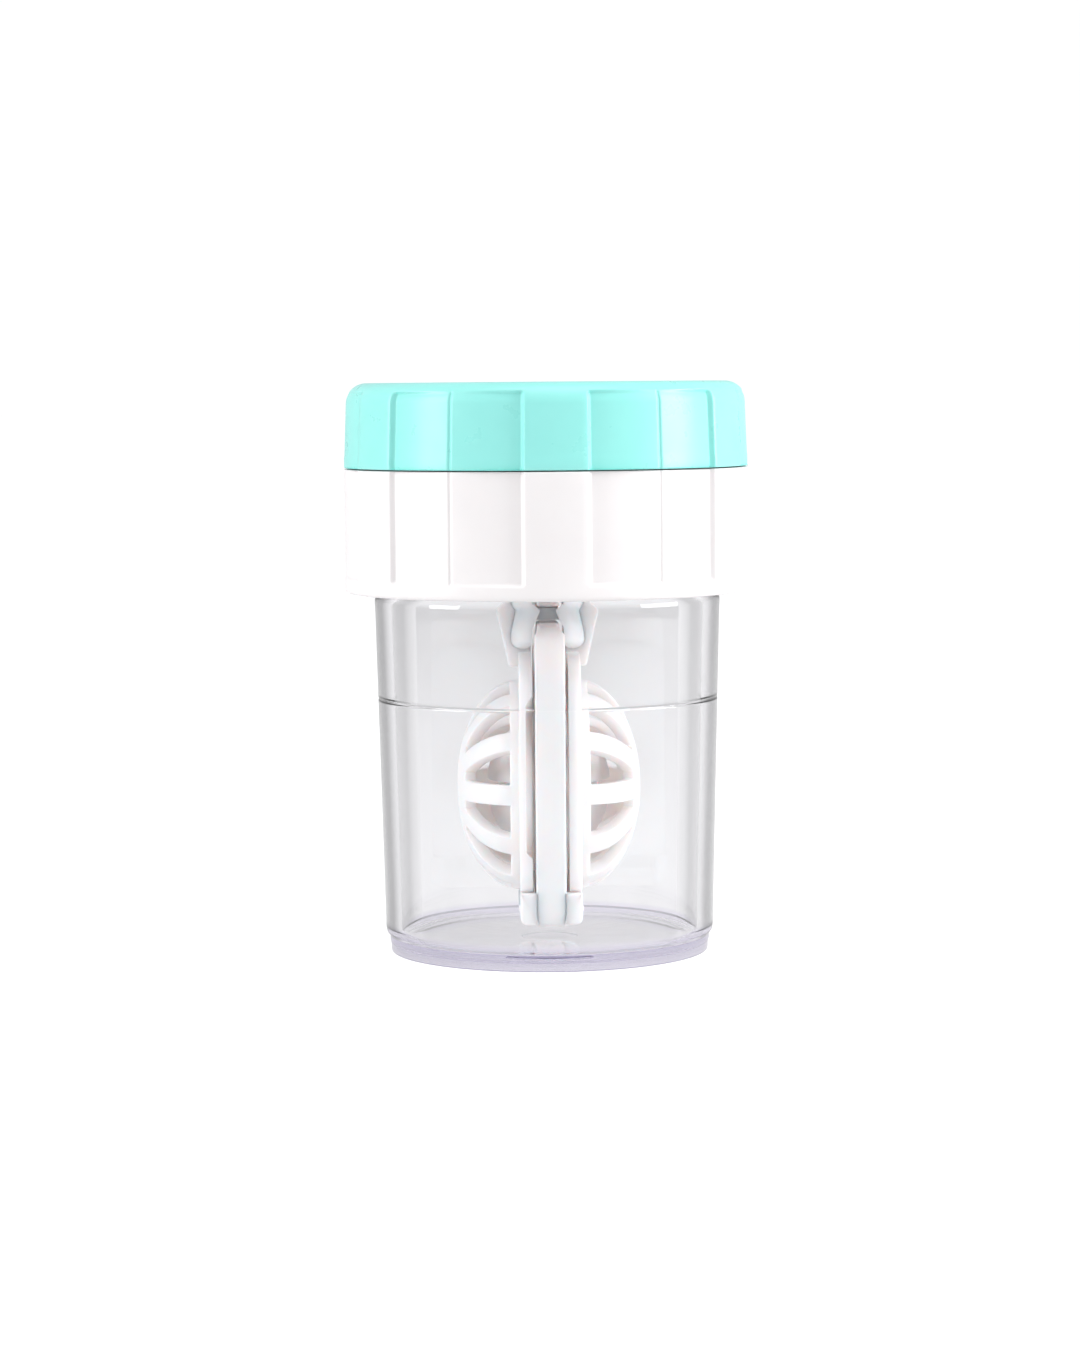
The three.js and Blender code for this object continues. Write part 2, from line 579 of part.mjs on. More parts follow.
// What the rinse channel takes from the inner face of a door's frame.
function channelCut() {
  const reach = DOOR_HALF_WIDTH + 1;
  const deep = DOOR_INNER_X + CHANNEL_DEPTH;
  return box(DOOR_INNER_X - 1, deep, -reach, reach, CHANNEL_LOW_Z, CHANNEL_HIGH_Z);
}

function doorFrame() {
  const panel = acrossX(roundedPanel(DOOR_HALF_WIDTH, HINGE_Z, DOOR_TOP_Z, DOOR_CORNER),
    DOOR_INNER_X, DOOR_OUTER_X, 3);
  const notch = new THREE.Shape();
  notch.absarc(0, DOOR_TOP_Z + DOOR_NOTCH_RISE, DOOR_NOTCH_RADIUS, 0, 2 * Math.PI);
  const earSide = PLATE_HALF_WIDTH - HINGE_EAR_WIDTH - GAP;
  const earTop = HINGE_EAR_HIGH_Z + GAP;
  return panel
    .subtract(acrossX(notch, 0, DOOR_OUTER_X + 1, 10))
    .subtract(box(0, DOOR_OUTER_X + 1, earSide, PLATE_HALF_WIDTH, 0, earTop))
    .subtract(box(0, DOOR_OUTER_X + 1, -PLATE_HALF_WIDTH, -earSide, 0, earTop));
}

function doorHinge() {
  const barrelHalf = PLATE_HALF_WIDTH - HINGE_EAR_WIDTH - GAP;
  const barrel = rodY(HINGE_RADIUS, HINGE_X, HINGE_Z, -barrelHalf, barrelHalf, 16);
  return barrel.add(rodY(HINGE_PIN_RADIUS, HINGE_X, HINGE_Z, -HINGE_PIN_REACH, HINGE_PIN_REACH, 10));
}

function door() {
  const { outer, inner } = cageShell();
  const high = DOOR_OUTER_X + CAGE_DEPTH + 1;
  const reach = CAGE_RADIUS + 1;
  const cage = outer
    .intersect(box(DOOR_OUTER_X - ROOT, high, -reach, reach, SEAT_Z - reach, SEAT_Z + reach));
  let frame = doorFrame().add(cage).subtract(inner);
  const mouth = new THREE.Shape();
  mouth.absarc(0, SEAT_Z, CAGE_RADIUS - CAGE_WALL, 0, 2 * Math.PI);
  frame = frame.subtract(acrossX(mouth, 0, DOOR_OUTER_X, 16));
  for (let i = 0; i < CAGE_RIBS; i += 1) {
    frame = frame.subtract(acrossX(cageWindow(i), DOOR_OUTER_X + CAGE_RIM, high, 2));
  }
  const hubHole = new THREE.Shape();
  hubHole.absarc(0, SEAT_Z, CAGE_HUB_HOLE, 0, 2 * Math.PI);
  return frame.subtract(acrossX(hubHole, DOOR_OUTER_X, high, 6)).add(doorHinge());
}

// ---------------------------------------------------------------- assembly

const rightDoor = door();
const leftDoor = rightDoor.subtract(channelCut()).mirror([1, 0, 0]);

const lensCase = new THREE.Group();
lensCase.name = 'contact_lens_case';
lensCase.add(meshOf('cup', cup(), clearPlastic));
lensCase.add(meshOf('rim_gasket', rimGasket(), silicone));
lensCase.add(meshOf('screw_ring', screwRing(), whitePlastic));
lensCase.add(meshOf('knob', knob(), mintPlastic));
lensCase.add(meshOf('stem', stem(), milkyPlastic));
lensCase.add(meshOf('stem_seal', stemSeal(), silicone));
lensCase.add(meshOf('lens_plate', lensPlate(), milkyPlastic));
lensCase.add(meshOf('door_right', rightDoor, milkyPlastic));
lensCase.add(meshOf('door_left', leftDoor, milkyPlastic));

export default lensCase;
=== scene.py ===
# %% [markdown]
# # A contact lens case with a turning knob
#
# This lesson dresses a small moulded case: a clear cup, a white screw ring, a mint knob with six
# grip lands, and a warm white lens holder that hangs in the cup. The moving frame of the part is
# loaded first. Each cell then makes one piece as a surface worked out with numpy, on the sizes of
# the frame, and gives it a finish made of shader nodes.

# %% load the frame
import json
import math

import bmesh
import bpy
import numpy as np
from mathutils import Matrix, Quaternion, Vector

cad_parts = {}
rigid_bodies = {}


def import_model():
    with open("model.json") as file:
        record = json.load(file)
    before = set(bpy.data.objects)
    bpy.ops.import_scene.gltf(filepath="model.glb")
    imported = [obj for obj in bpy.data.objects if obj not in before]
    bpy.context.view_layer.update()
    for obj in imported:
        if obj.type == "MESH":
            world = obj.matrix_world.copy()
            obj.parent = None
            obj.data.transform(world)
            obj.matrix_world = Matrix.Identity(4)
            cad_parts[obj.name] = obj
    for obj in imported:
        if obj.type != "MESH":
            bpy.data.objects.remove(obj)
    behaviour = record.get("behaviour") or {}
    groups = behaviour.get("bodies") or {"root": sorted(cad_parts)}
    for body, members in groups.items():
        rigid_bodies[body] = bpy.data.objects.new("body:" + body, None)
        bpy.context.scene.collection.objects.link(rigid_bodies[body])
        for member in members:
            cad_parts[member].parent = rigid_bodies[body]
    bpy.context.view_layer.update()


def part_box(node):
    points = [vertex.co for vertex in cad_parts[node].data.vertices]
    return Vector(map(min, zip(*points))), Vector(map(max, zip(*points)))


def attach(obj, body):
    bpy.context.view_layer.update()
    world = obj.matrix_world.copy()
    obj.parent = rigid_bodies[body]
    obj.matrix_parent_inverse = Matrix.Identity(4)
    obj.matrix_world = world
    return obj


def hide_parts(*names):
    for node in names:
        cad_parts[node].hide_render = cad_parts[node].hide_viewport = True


for leftover in list(bpy.data.objects):
    bpy.data.objects.remove(leftover)
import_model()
MM = 0.001

# %% [markdown]
# ## Sizes that come from the frame
#
# A piece that replaces a solid must sit exactly where the solid sits. So heights and radii are read
# from the boxes of the solids, and only the sizes of small details are written down as numbers.
# All working sizes are millimetres, which suit a small moulding, and the meshes become metres.

# %% sizes from the frame


def span(node):
    """Lowest and highest corner of one solid in millimetres, as two numpy rows."""
    low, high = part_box(node)
    return np.array(low) / MM, np.array(high) / MM


cup_high = span("cup")[1]
ring_low, ring_high = span("screw_ring")
knob_low, knob_high = span("knob")
gasket_low, gasket_high = span("rim_gasket")
stem_high = span("stem")[1]
seal_low, seal_high = span("stem_seal")
plate_low, plate_high = span("lens_plate")
door_high = span("door_right")[1]
LID_RADIUS = round(float(ring_high[0]), 2)
TOP_Z = float(knob_high[2])
RING_BOTTOM_Z = float(ring_low[2])
PARTING_Z = float(knob_low[2]) - 0.15
RIM_Z = float(cup_high[2])
print(f"lid radius {LID_RADIUS:.2f} mm, ring from {RING_BOTTOM_Z:.1f}, parting at {PARTING_Z:.2f} mm")

# %% [markdown]
# ## Helpers: profiles and grids
#
# Nearly every piece here is a body that was turned in a lathe or milled as a mould of round parts.
# Such a body is a profile (radius, height) carried round an axis: a grid of points with one row for
# each profile point and one column for each direction. Whole arrays make the grid in one step, and
# the faces are the same for every grid, so one helper can build them all.

# %% profile and grid helpers


def eased(corners, ease, steps=6):
    """Rounds the corners of an open line.

    A corner P gives way to the curve (1-t)^2 A + 2t(1-t) P + t^2 B, where A and B lie on its two
    sides at the distance that ease gives, but never past the middle of a side."""
    p = np.asarray(corners, float)
    e = np.broadcast_to(np.asarray(ease, float), len(p)).copy()
    e[0] = e[-1] = 0
    before = np.vstack([p[:1], p[:-1]]) - p
    after = np.vstack([p[1:], p[-1:]]) - p
    long_before = np.linalg.norm(before, axis=1)
    long_after = np.linalg.norm(after, axis=1)
    reach = np.minimum(e, 0.49 * np.minimum(long_before, long_after))
    a = p + before * (reach / np.maximum(long_before, 1e-9))[:, None]
    b = p + after * (reach / np.maximum(long_after, 1e-9))[:, None]
    t = np.linspace(0, 1, steps)[None, :, None]
    curve = (1 - t) ** 2 * a[:, None] + 2 * t * (1 - t) * p[:, None] + t**2 * b[:, None]
    line = curve.reshape(-1, p.shape[1])
    keep = np.r_[True, np.linalg.norm(np.diff(line, axis=0), axis=1) > 1e-6]
    return line[keep]


def refined(line, step):
    """The same line with extra points, so that neighbours lie at most step apart."""
    s = np.r_[0, np.cumsum(np.linalg.norm(np.diff(line, axis=0), axis=1))]
    extra = np.arange(0, s[-1], step)
    far = np.abs(extra[:, None] - s[None, :]).min(axis=1) > 0.3 * step
    at = np.sort(np.r_[s, extra[far]])
    return np.stack([np.interp(at, s, line[:, k]) for k in range(line.shape[1])], axis=1)


def smooth_step(x, low, high):
    """0 below low, 1 above high, and 3t^2 - 2t^3 between them."""
    t = np.clip((x - low) / (high - low), 0, 1)
    return t * t * (3 - 2 * t)


def grid_faces(rows, columns, close_rows=False, close_columns=True):
    """The four-sided faces between neighbouring rows and columns of a point grid."""
    index = np.arange(rows * columns).reshape(rows, columns)
    if close_rows:
        index = np.vstack([index, index[:1]])
    if close_columns:
        index = np.hstack([index, index[:, :1]])
    a, b = index[:-1, :-1], index[:-1, 1:]
    c, d = index[1:, 1:], index[1:, :-1]
    return np.stack([a, b, c, d], axis=-1).reshape(-1, 4)


def shell(points, close_rows=False, close_columns=True):
    """A grid of shape (rows, columns, 3), in millimetres, as (points, faces)."""
    rows, columns = points.shape[:2]
    return points.reshape(-1, 3), grid_faces(rows, columns, close_rows, close_columns)


def together(*shells):
    """Several shells as one: the faces of each are counted on from the points before it."""
    counts = np.cumsum([0] + [len(points) for points, _ in shells])
    points = np.vstack([points for points, _ in shells])
    faces = np.vstack([faces + first for (_, faces), first in zip(shells, counts)])
    return points, faces


def make_piece(name, points, faces, sharp_deg=38):
    """A Blender object from millimetre points and faces.

    Doubled points at poles and seams are merged, faces are turned to look outwards, and edges
    sharper than sharp_deg stay crisp under smooth shading."""
    mesh = bpy.data.meshes.new(name)
    mesh.from_pydata((points * MM).tolist(), [], faces.tolist())
    piece = bpy.data.objects.new(name, mesh)
    bpy.context.scene.collection.objects.link(piece)
    tidy_mesh(mesh)
    mesh.set_sharp_from_angle(angle=math.radians(sharp_deg))
    low, high = mesh_span(mesh)
    print(f"{name}: {len(mesh.polygons)} faces, z {low[2]:.2f} to {high[2]:.2f} mm")
    return piece


def tidy_mesh(mesh):
    """Merges doubled points, drops what has no area and turns the faces of closed shells outwards."""
    work = bmesh.new()
    work.from_mesh(mesh)
    bmesh.ops.remove_doubles(work, verts=work.verts, dist=2e-7)
    bmesh.ops.dissolve_degenerate(work, edges=work.edges, dist=1e-7)
    bmesh.ops.recalc_face_normals(work, faces=work.faces)
    work.to_mesh(mesh)
    work.free()
    mesh.polygons.foreach_set("use_smooth", np.ones(len(mesh.polygons), bool))
    mesh.update()


def mesh_span(mesh):
    """Lowest and highest corner of a mesh in millimetres."""
    co = np.empty(len(mesh.vertices) * 3)
    mesh.vertices.foreach_get("co", co)
    co = co.reshape(-1, 3) / MM
    return co.min(axis=0), co.max(axis=0)


def turned(profile, angles, radius=None):
    """The points of a turned body: x = r cos a, y = r sin a, z = height.

    radius may be a (rows, columns) array that takes the place of the profile's own radius."""
    r = profile[:, :1] + 0 * angles[None, :] if radius is None else radius
    z = profile[:, 1:] + 0 * angles[None, :]
    return np.stack([r * np.cos(angles), r * np.sin(angles), z], axis=-1)


def place(piece, material, body, node):
    """Gives a piece its finish, its body, and the solid that it stands for."""
    piece.data.materials.clear()
    piece.data.materials.append(material)
    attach(piece, body)
    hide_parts(node)


ROUND = np.linspace(0, 2 * math.pi, 192, endpoint=False)
print("helpers ready,", len(ROUND), "directions round a plain turned piece")

# %% [markdown]
# ## Camera
#
# The view is level with the lid's top and looks slightly down into the cup. A long lens from about
# 375 mm keeps the sides of the lid nearly upright. The camera comes early, so that every try can
# be looked at from the final place.

# %% camera
VIEW_DISTANCE, EYE_Z = 375, 58.4
view_side = math.radians(-1.05)
camera_data = bpy.data.cameras.new("case_camera")
camera_data.lens = 96.4
camera_data.sensor_width = 36
camera_data.clip_start = 0.01
camera_data.clip_end = 20
camera = bpy.data.objects.new("case_camera", camera_data)
bpy.context.scene.collection.objects.link(camera)
camera.location = Vector((
    VIEW_DISTANCE * math.sin(view_side), -VIEW_DISTANCE * math.cos(view_side), EYE_Z)) * MM
aim = Vector((-0.8, 0, 28.6)) * MM
camera.rotation_mode = "QUATERNION"
roll = Quaternion((0, 0, 1), math.radians(-0.45))
camera.rotation_quaternion = (aim - camera.location).to_track_quat("-Z", "Y") @ roll
bpy.context.scene.camera = camera
print("camera", round((aim - camera.location).length / MM), "mm from the aim point")

# %% [markdown]
# ## Light and floor
#
# Clear plastic shows only what stands round it. A white world alone would make the cup vanish, so
# cards in shades of grey stand close behind it to the left and right, unseen by the camera itself:
# the walls of the cup bend them in as soft dark bands beside the edges, all the way down. Two tall
# softboxes light the flanks of the lid and a large one hangs overhead. The floor is plain and pale,
# with light of its own, so that only a faint contact shadow stays.

# %% world, floor and lights
scene = bpy.context.scene
scene.view_settings.view_transform = "Standard"
world = bpy.data.worlds.new("studio")
scene.world = world
world.use_nodes = True
tree = world.node_tree
tree.nodes.clear()
seen = tree.nodes.new("ShaderNodeBackground")
seen.inputs["Color"].default_value = (1, 1, 1, 1)
seen.inputs["Strength"].default_value = 1.02
around = tree.nodes.new("ShaderNodeBackground")
around.inputs["Color"].default_value = (0.99, 0.99, 1, 1)
around.inputs["Strength"].default_value = 0.62
path = tree.nodes.new("ShaderNodeLightPath")
either = tree.nodes.new("ShaderNodeMixShader")
out = tree.nodes.new("ShaderNodeOutputWorld")
tree.links.new(path.outputs["Is Camera Ray"], either.inputs[0])
tree.links.new(around.outputs[0], either.inputs[1])
tree.links.new(seen.outputs[0], either.inputs[2])
tree.links.new(either.outputs[0], out.inputs["Surface"])


def sheet_piece(name, points, close_columns=False):
    """An open grid as a stage piece, in millimetres."""
    mesh = bpy.data.meshes.new(name)
    p, f = shell(points, close_columns=close_columns)
    mesh.from_pydata((p * MM).tolist(), [], f.tolist())
    piece = bpy.data.objects.new(name, mesh)
    bpy.context.scene.collection.objects.link(piece)
    return piece


def glow_material(name, strength, seen, matt):
    """A stage finish: an even light of its own, which may be brighter to the eye than it is to
    other rays, plus a share of matt white that takes a shadow."""
    material = bpy.data.materials.new(name)
    material.use_nodes = True
    nodes, links = material.node_tree.nodes, material.node_tree.links
    nodes.clear()
    ray = nodes.new("ShaderNodeLightPath")
    level = nodes.new("ShaderNodeMapRange")
    level.inputs["To Min"].default_value = strength
    level.inputs["To Max"].default_value = seen
    links.new(ray.outputs["Is Camera Ray"], level.inputs["Value"])
    glow = nodes.new("ShaderNodeEmission")
    links.new(level.outputs["Result"], glow.inputs["Strength"])
    white_share = nodes.new("ShaderNodeBsdfDiffuse")
    white_share.inputs["Color"].default_value = (matt, matt, matt, 1)
    both = nodes.new("ShaderNodeAddShader")
    links.new(glow.outputs[0], both.inputs[0])
    links.new(white_share.outputs[0], both.inputs[1])
    end = nodes.new("ShaderNodeOutputMaterial")
    links.new(both.outputs[0], end.inputs["Surface"])
    return material


reach = np.array([0, 60, 200, 600, 2000, 8000.0])
floor_points = np.stack([
    reach[:, None] * np.cos(ROUND), reach[:, None] * np.sin(ROUND), 0 * reach[:, None] + 0 * ROUND,
], axis=-1)
floor = sheet_piece("floor", floor_points, close_columns=True)
floor.data.materials.append(glow_material("pale_floor", 0.32, 0.74, 0.5))


CARD_RADIUS, CARD_TOP = 22, 36.5


def card(name, stops):
    """An upright strip of a cylinder close round the cup, which glows in shades of grey.

    stops is a list of (degrees from +Y, the far side; strength), and the strength runs smoothly
    from each to the next."""
    at, strength = np.array(stops).T
    degrees = np.linspace(at[0], at[-1], 90)
    a = np.radians(degrees)
    z = np.array([0.05, CARD_TOP])[:, None]
    across, away = CARD_RADIUS * np.sin(a), CARD_RADIUS * np.cos(a)
    points = np.stack([across + 0 * z, away + 0 * z, z + 0 * a], axis=-1)
    piece = sheet_piece(name, points)
    shade = np.interp(degrees, at, strength) + 0 * z
    shades = piece.data.attributes.new("shade", "FLOAT", "POINT")
    shades.data.foreach_set("value", shade.ravel().astype(np.float32))
    material = bpy.data.materials.new(name)
    material.use_nodes = True
    nodes, links = material.node_tree.nodes, material.node_tree.links
    nodes.clear()
    level = nodes.new("ShaderNodeAttribute")
    level.attribute_name = "shade"
    glow = nodes.new("ShaderNodeEmission")
    links.new(level.outputs["Fac"], glow.inputs["Strength"])
    end = nodes.new("ShaderNodeOutputMaterial")
    links.new(glow.outputs[0], end.inputs["Surface"])
    piece.data.materials.append(material)
    piece.visible_camera = False
    piece.visible_diffuse = False
    piece.visible_glossy = False
    piece.visible_shadow = False


card("card_left", [(-112, 1.0), (-92, 1.0), (-84, 0.8), (-76, 0.42), (-66, 0.40), (-58, 0.46), (-53, 0.72),
                   (-48, 0.88)])
card("card_right", [(50, 0.92), (55, 0.80), (60, 0.52), (68, 0.45), (78, 0.5), (86, 0.85), (94, 1.0),
                    (114, 1.0)])


def softbox(name, azimuth, height, distance, width, tall, power):
    """An area light aimed at the middle of the case; azimuth 0 is the front, in degrees."""
    data = bpy.data.lights.new(name, "AREA")
    data.shape = "RECTANGLE"
    data.size = width * MM
    data.size_y = tall * MM
    data.energy = power
    light = bpy.data.objects.new(name, data)
    bpy.context.scene.collection.objects.link(light)
    a = math.radians(azimuth)
    light.location = Vector((distance * math.sin(a), -distance * math.cos(a), height)) * MM
    light.rotation_mode = "QUATERNION"
    light.rotation_quaternion = (Vector((0, 0, 0.035)) - light.location).to_track_quat("-Z", "Y")
    light.visible_transmission = False


softbox("softbox_right", 78, 140, 450, 260, 420, 2.5)
softbox("softbox_left", -72, 140, 450, 200, 420, 1.5)
softbox("softbox_top", 10, 620, 120, 420, 420, 1.0)
print("world, floor, two cards and three softboxes are set")

# %% [markdown]
# ## Finishes
#
# Moulded plastic is never one flat colour. Its pigment varies a little, its gloss is broken by the
# polish of the mould and by fine handling scratches, and its sharp edges are painted lighter in
# patches: a painted highlight for the light that rounded edges catch. All the opaque finishes share
# these three parts, so one helper builds them. Patterns read Object coordinates, which stay with a
# piece when it moves, and are scaled in millimetres.

# %% finish helpers


def millimetres(nodes, links, scale=(1, 1, 1)):
    """Object coordinates in millimetres, stretched by scale."""
    where = nodes.new("ShaderNodeTexCoord")
    mapping = nodes.new("ShaderNodeMapping")
    mapping.inputs["Scale"].default_value = tuple(1000 * s for s in scale)
    links.new(where.outputs["Object"], mapping.inputs["Vector"])
    return mapping.outputs["Vector"]


def noise(nodes, links, vector, scale, detail=3, roughness=0.55):
    """A noise pattern; scale is how many cells there are in a millimetre."""
    node = nodes.new("ShaderNodeTexNoise")
    node.inputs["Scale"].default_value = scale
    node.inputs["Detail"].default_value = detail
    node.inputs["Roughness"].default_value = roughness
    links.new(vector, node.inputs["Vector"])
    return node.outputs["Fac"]


def ramp(nodes, links, factor, stops):
    """A colour ramp. stops is a list of (place, colour)."""
    node = nodes.new("ShaderNodeValToRGB")
    elements = node.color_ramp.elements
    elements[0].position, elements[0].color = stops[0][0], (*stops[0][1], 1)
    elements[1].position, elements[1].color = stops[-1][0], (*stops[-1][1], 1)
    for place_at, colour in stops[1:-1]:
        extra = elements.new(place_at)
        extra.color = (*colour, 1)
    links.new(factor, node.inputs["Fac"])
    return node.outputs["Color"]


def spread(nodes, links, factor, low, high):
    """A pattern from 0 to 1 as a number from low to high."""
    node = nodes.new("ShaderNodeMapRange")
    node.inputs["From Min"].default_value = 0.3
    node.inputs["From Max"].default_value = 0.7
    node.inputs["To Min"].default_value = low
    node.inputs["To Max"].default_value = high
    links.new(factor, node.inputs["Value"])
    return node.outputs["Result"]


def stretch(nodes, links, value, at_zero, at_one):
    """A number as a share: 0 where it is at_zero, 1 where it is at_one, and held outside."""
    node = nodes.new("ShaderNodeMapRange")
    node.inputs["From Min"].default_value = at_zero
    node.inputs["From Max"].default_value = at_one
    links.new(value, node.inputs["Value"])
    return node.outputs["Result"]


def combine(nodes, links, operation, first, second):
    """The result of one Math node on two numbers."""
    node = nodes.new("ShaderNodeMath")
    node.operation = operation
    links.new(first, node.inputs[0])
    links.new(second, node.inputs[1])
    return node.outputs[0]


def moulded_plastic(name, dark, light, highlight_colour, gloss, grain, scratches):
    """Opaque moulded plastic: pigment between dark and light, sharp edges lighter in patches as a
    painted highlight, roughness between the two numbers of gloss, a fine grain and long shallow
    scratches as bump."""
    material = bpy.data.materials.new(name)
    material.use_nodes = True
    nodes, links = material.node_tree.nodes, material.node_tree.links
    shader = nodes["Principled BSDF"]
    flat = millimetres(nodes, links)
    upright = millimetres(nodes, links, (1, 1, 0.12))
    cloud = noise(nodes, links, flat, 0.12, 4)
    pigment = ramp(nodes, links, cloud, [(0.3, dark), (0.7, light)])
    geometry = nodes.new("ShaderNodeNewGeometry")
    # Painted highlight: sharp convex edges, found by Pointiness, turn towards a lighter colour in patches,
    # which stands in for the light that rounded edges catch.
    edge = stretch(nodes, links, geometry.outputs["Pointiness"], 0.52, 0.62)
    patchy = spread(nodes, links, noise(nodes, links, flat, 1.4, 4), 0.02, 0.3)
    painted_edge_highlight = combine(nodes, links, "MULTIPLY", edge, patchy)
    mix = nodes.new("ShaderNodeMix")
    mix.data_type = "RGBA"
    links.new(painted_edge_highlight, mix.inputs["Factor"])
    links.new(pigment, mix.inputs["A"])
    mix.inputs["B"].default_value = (*highlight_colour, 1)
    links.new(mix.outputs["Result"], shader.inputs["Base Color"])
    links.new(spread(nodes, links, noise(nodes, links, flat, 0.35, 5), *gloss), shader.inputs["Roughness"])
    fine = noise(nodes, links, flat, 9, 2)
    streak = noise(nodes, links, upright, 6, 2)
    relief = combine(nodes, links, "ADD", fine, streak)
    bump = nodes.new("ShaderNodeBump")
    bump.inputs["Strength"].default_value = grain + scratches
    bump.inputs["Distance"].default_value = 0.05 * MM
    links.new(relief, bump.inputs["Height"])
    links.new(bump.outputs["Normal"], shader.inputs["Normal"])
    return material, shader


print("finish helpers ready")

# %% [markdown]
# ## The five finishes
#
# The mint and white plastics are satin and let a little light into their skin. The holder is a
# milky plastic: more light goes into it and comes out warm, so its gaps look pinkish and not grey.
# The cup is clear: full transmission, with a faint violet absorption that only shows where light
# travels far, along the thick base. Light from lamps would have to find its way through the bent
# walls by chance, so shadow rays and soft rays pass straight through; the eye still sees real
# refraction. The seals are matt silicone.

# %% finishes
mint_plastic, mint = moulded_plastic(
    "satin_mint", (0.285, 0.765, 0.715), (0.305, 0.795, 0.745), (0.42, 0.86, 0.82), (0.26, 0.34), 0.01, 0.01)
mint.inputs["Subsurface Weight"].default_value = 0.12
mint.inputs["Subsurface Radius"].default_value = (0.5, 1.0, 1.0)
mint.inputs["Subsurface Scale"].default_value = 0.5 * MM

white_plastic, white = moulded_plastic(
    "satin_white", (0.825, 0.798, 0.803), (0.85, 0.828, 0.83), (0.89, 0.875, 0.87), (0.3, 0.42), 0.01, 0.01)
white.inputs["Subsurface Weight"].default_value = 0.15
white.inputs["Subsurface Radius"].default_value = (1.0, 0.85, 0.8)
white.inputs["Subsurface Scale"].default_value = 0.6 * MM

milky_plastic, milky = moulded_plastic(
    "milky_white", (0.925, 0.868, 0.85), (0.95, 0.905, 0.892), (0.96, 0.935, 0.925), (0.34, 0.48), 0.01, 0.01)
milky.inputs["Subsurface Weight"].default_value = 0.85
milky.inputs["Subsurface Radius"].default_value = (1.0, 0.62, 0.52)
milky.inputs["Subsurface Scale"].default_value = 2.6 * MM

silicone, rubber = moulded_plastic(
    "soft_silicone", (0.74, 0.73, 0.70), (0.82, 0.81, 0.78), (0.86, 0.85, 0.83), (0.6, 0.75), 0.05, 0)
rubber.inputs["Subsurface Weight"].default_value = 0.3
rubber.inputs["Subsurface Scale"].default_value = 0.8 * MM


def clear_cup_plastic():
    """Clear plastic with a faint violet body colour, faint upright waves and slightly uneven gloss.

    The violet gathers in the thick rim of the foot, so the surface is tinted violet and a little darker
    there too: partly the violet of the thick plastic, partly painted shade for the dark band under the foot."""
    material = bpy.data.materials.new("clear_cup")
    material.use_nodes = True
    nodes, links = material.node_tree.nodes, material.node_tree.links
    shader = nodes["Principled BSDF"]
    shader.inputs["Transmission Weight"].default_value = 1
    shader.inputs["IOR"].default_value = 1.57
    flat = millimetres(nodes, links)
    height = nodes.new("ShaderNodeSeparateXYZ")
    links.new(flat, height.inputs[0])
    sideways = nodes.new("ShaderNodeVectorMath")
    sideways.operation = "MULTIPLY"
    sideways.inputs[1].default_value = (1, 1, 0)
    links.new(flat, sideways.inputs[0])
    from_axis = nodes.new("ShaderNodeVectorMath")
    from_axis.operation = "LENGTH"
    links.new(sideways.outputs["Vector"], from_axis.inputs[0])
    # Painted shade, in part: the surface colour at the rim of the foot turns violet and darker. This stands
    # for the thick plastic's own violet and for the dark band under the foot.
    low_down = stretch(nodes, links, height.outputs["Z"], 2.9, 2.2)
    far_out = stretch(nodes, links, from_axis.outputs["Value"], 15.7, 16.4)
    rim = combine(nodes, links, "MULTIPLY", low_down, far_out)
    violet_and_shade = nodes.new("ShaderNodeMix")
    violet_and_shade.data_type = "RGBA"
    links.new(rim, violet_and_shade.inputs["Factor"])
    violet_and_shade.inputs["A"].default_value = (1, 1, 1, 1)
    violet_and_shade.inputs["B"].default_value = (0.80, 0.765, 0.92, 1)
    links.new(violet_and_shade.outputs["Result"], shader.inputs["Base Color"])
    links.new(spread(nodes, links, noise(nodes, links, flat, 0.3, 4), 0.0, 0.03), shader.inputs["Roughness"])
    round_the_cup = millimetres(nodes, links, (1, 1, 0.15))
    bump = nodes.new("ShaderNodeBump")
    bump.inputs["Strength"].default_value = 0.02
    bump.inputs["Distance"].default_value = 0.03 * MM
    links.new(noise(nodes, links, round_the_cup, 0.9, 2), bump.inputs["Height"])
    links.new(bump.outputs["Normal"], shader.inputs["Normal"])
    body = nodes.new("ShaderNodeVolumeAbsorption")
    body.inputs["Color"].default_value = (0.79, 0.765, 0.89, 1)
    body.inputs["Density"].default_value = 45
    links.new(body.outputs[0], nodes["Material Output"].inputs["Volume"])
    open_way = nodes.new("ShaderNodeBsdfTransparent")
    open_way.inputs["Color"].default_value = (0.985, 0.985, 0.99, 1)
    ray = nodes.new("ShaderNodeLightPath")
    soft_ray = combine(nodes, links, "MAXIMUM", ray.outputs["Is Shadow Ray"], ray.outputs["Is Diffuse Ray"])
    let_through = nodes.new("ShaderNodeMixShader")
    links.new(soft_ray, let_through.inputs[0])
    links.new(shader.outputs[0], let_through.inputs[1])
    links.new(open_way.outputs[0], let_through.inputs[2])
    links.new(let_through.outputs[0], nodes["Material Output"].inputs["Surface"])
    return material


clear_plastic = clear_cup_plastic()
print("finishes:", ", ".join(m.name for m in bpy.data.materials))

# %% [markdown]
# ## The grip on the lid
#
# Six plain lands stand round the lid. Between two lands lie two panels that meet in a crease: each
# panel starts at full radius at the crease and slopes down to the side of the land. A fine groove
# marks the crease. All of this only depends on the direction round the lid, so it is one function
# from angle to depth, and the knob and the ring use the same one, which keeps their grips in line.

# %% grip depth round the lid
LAND_HALF = 8.9
LAND_TURN = 1.75
PERIOD = 60.0
PANEL_DEPTH = 0.5


def grip_phase(angles):
    """Degrees from the middle of the nearest land, 0 to 30.

    One land faces the front, -Y, turned by the play that a snapped-on lid has on its holder."""
    return np.abs((np.degrees(angles) + 90 - LAND_TURN + PERIOD / 2) % PERIOD - PERIOD / 2)


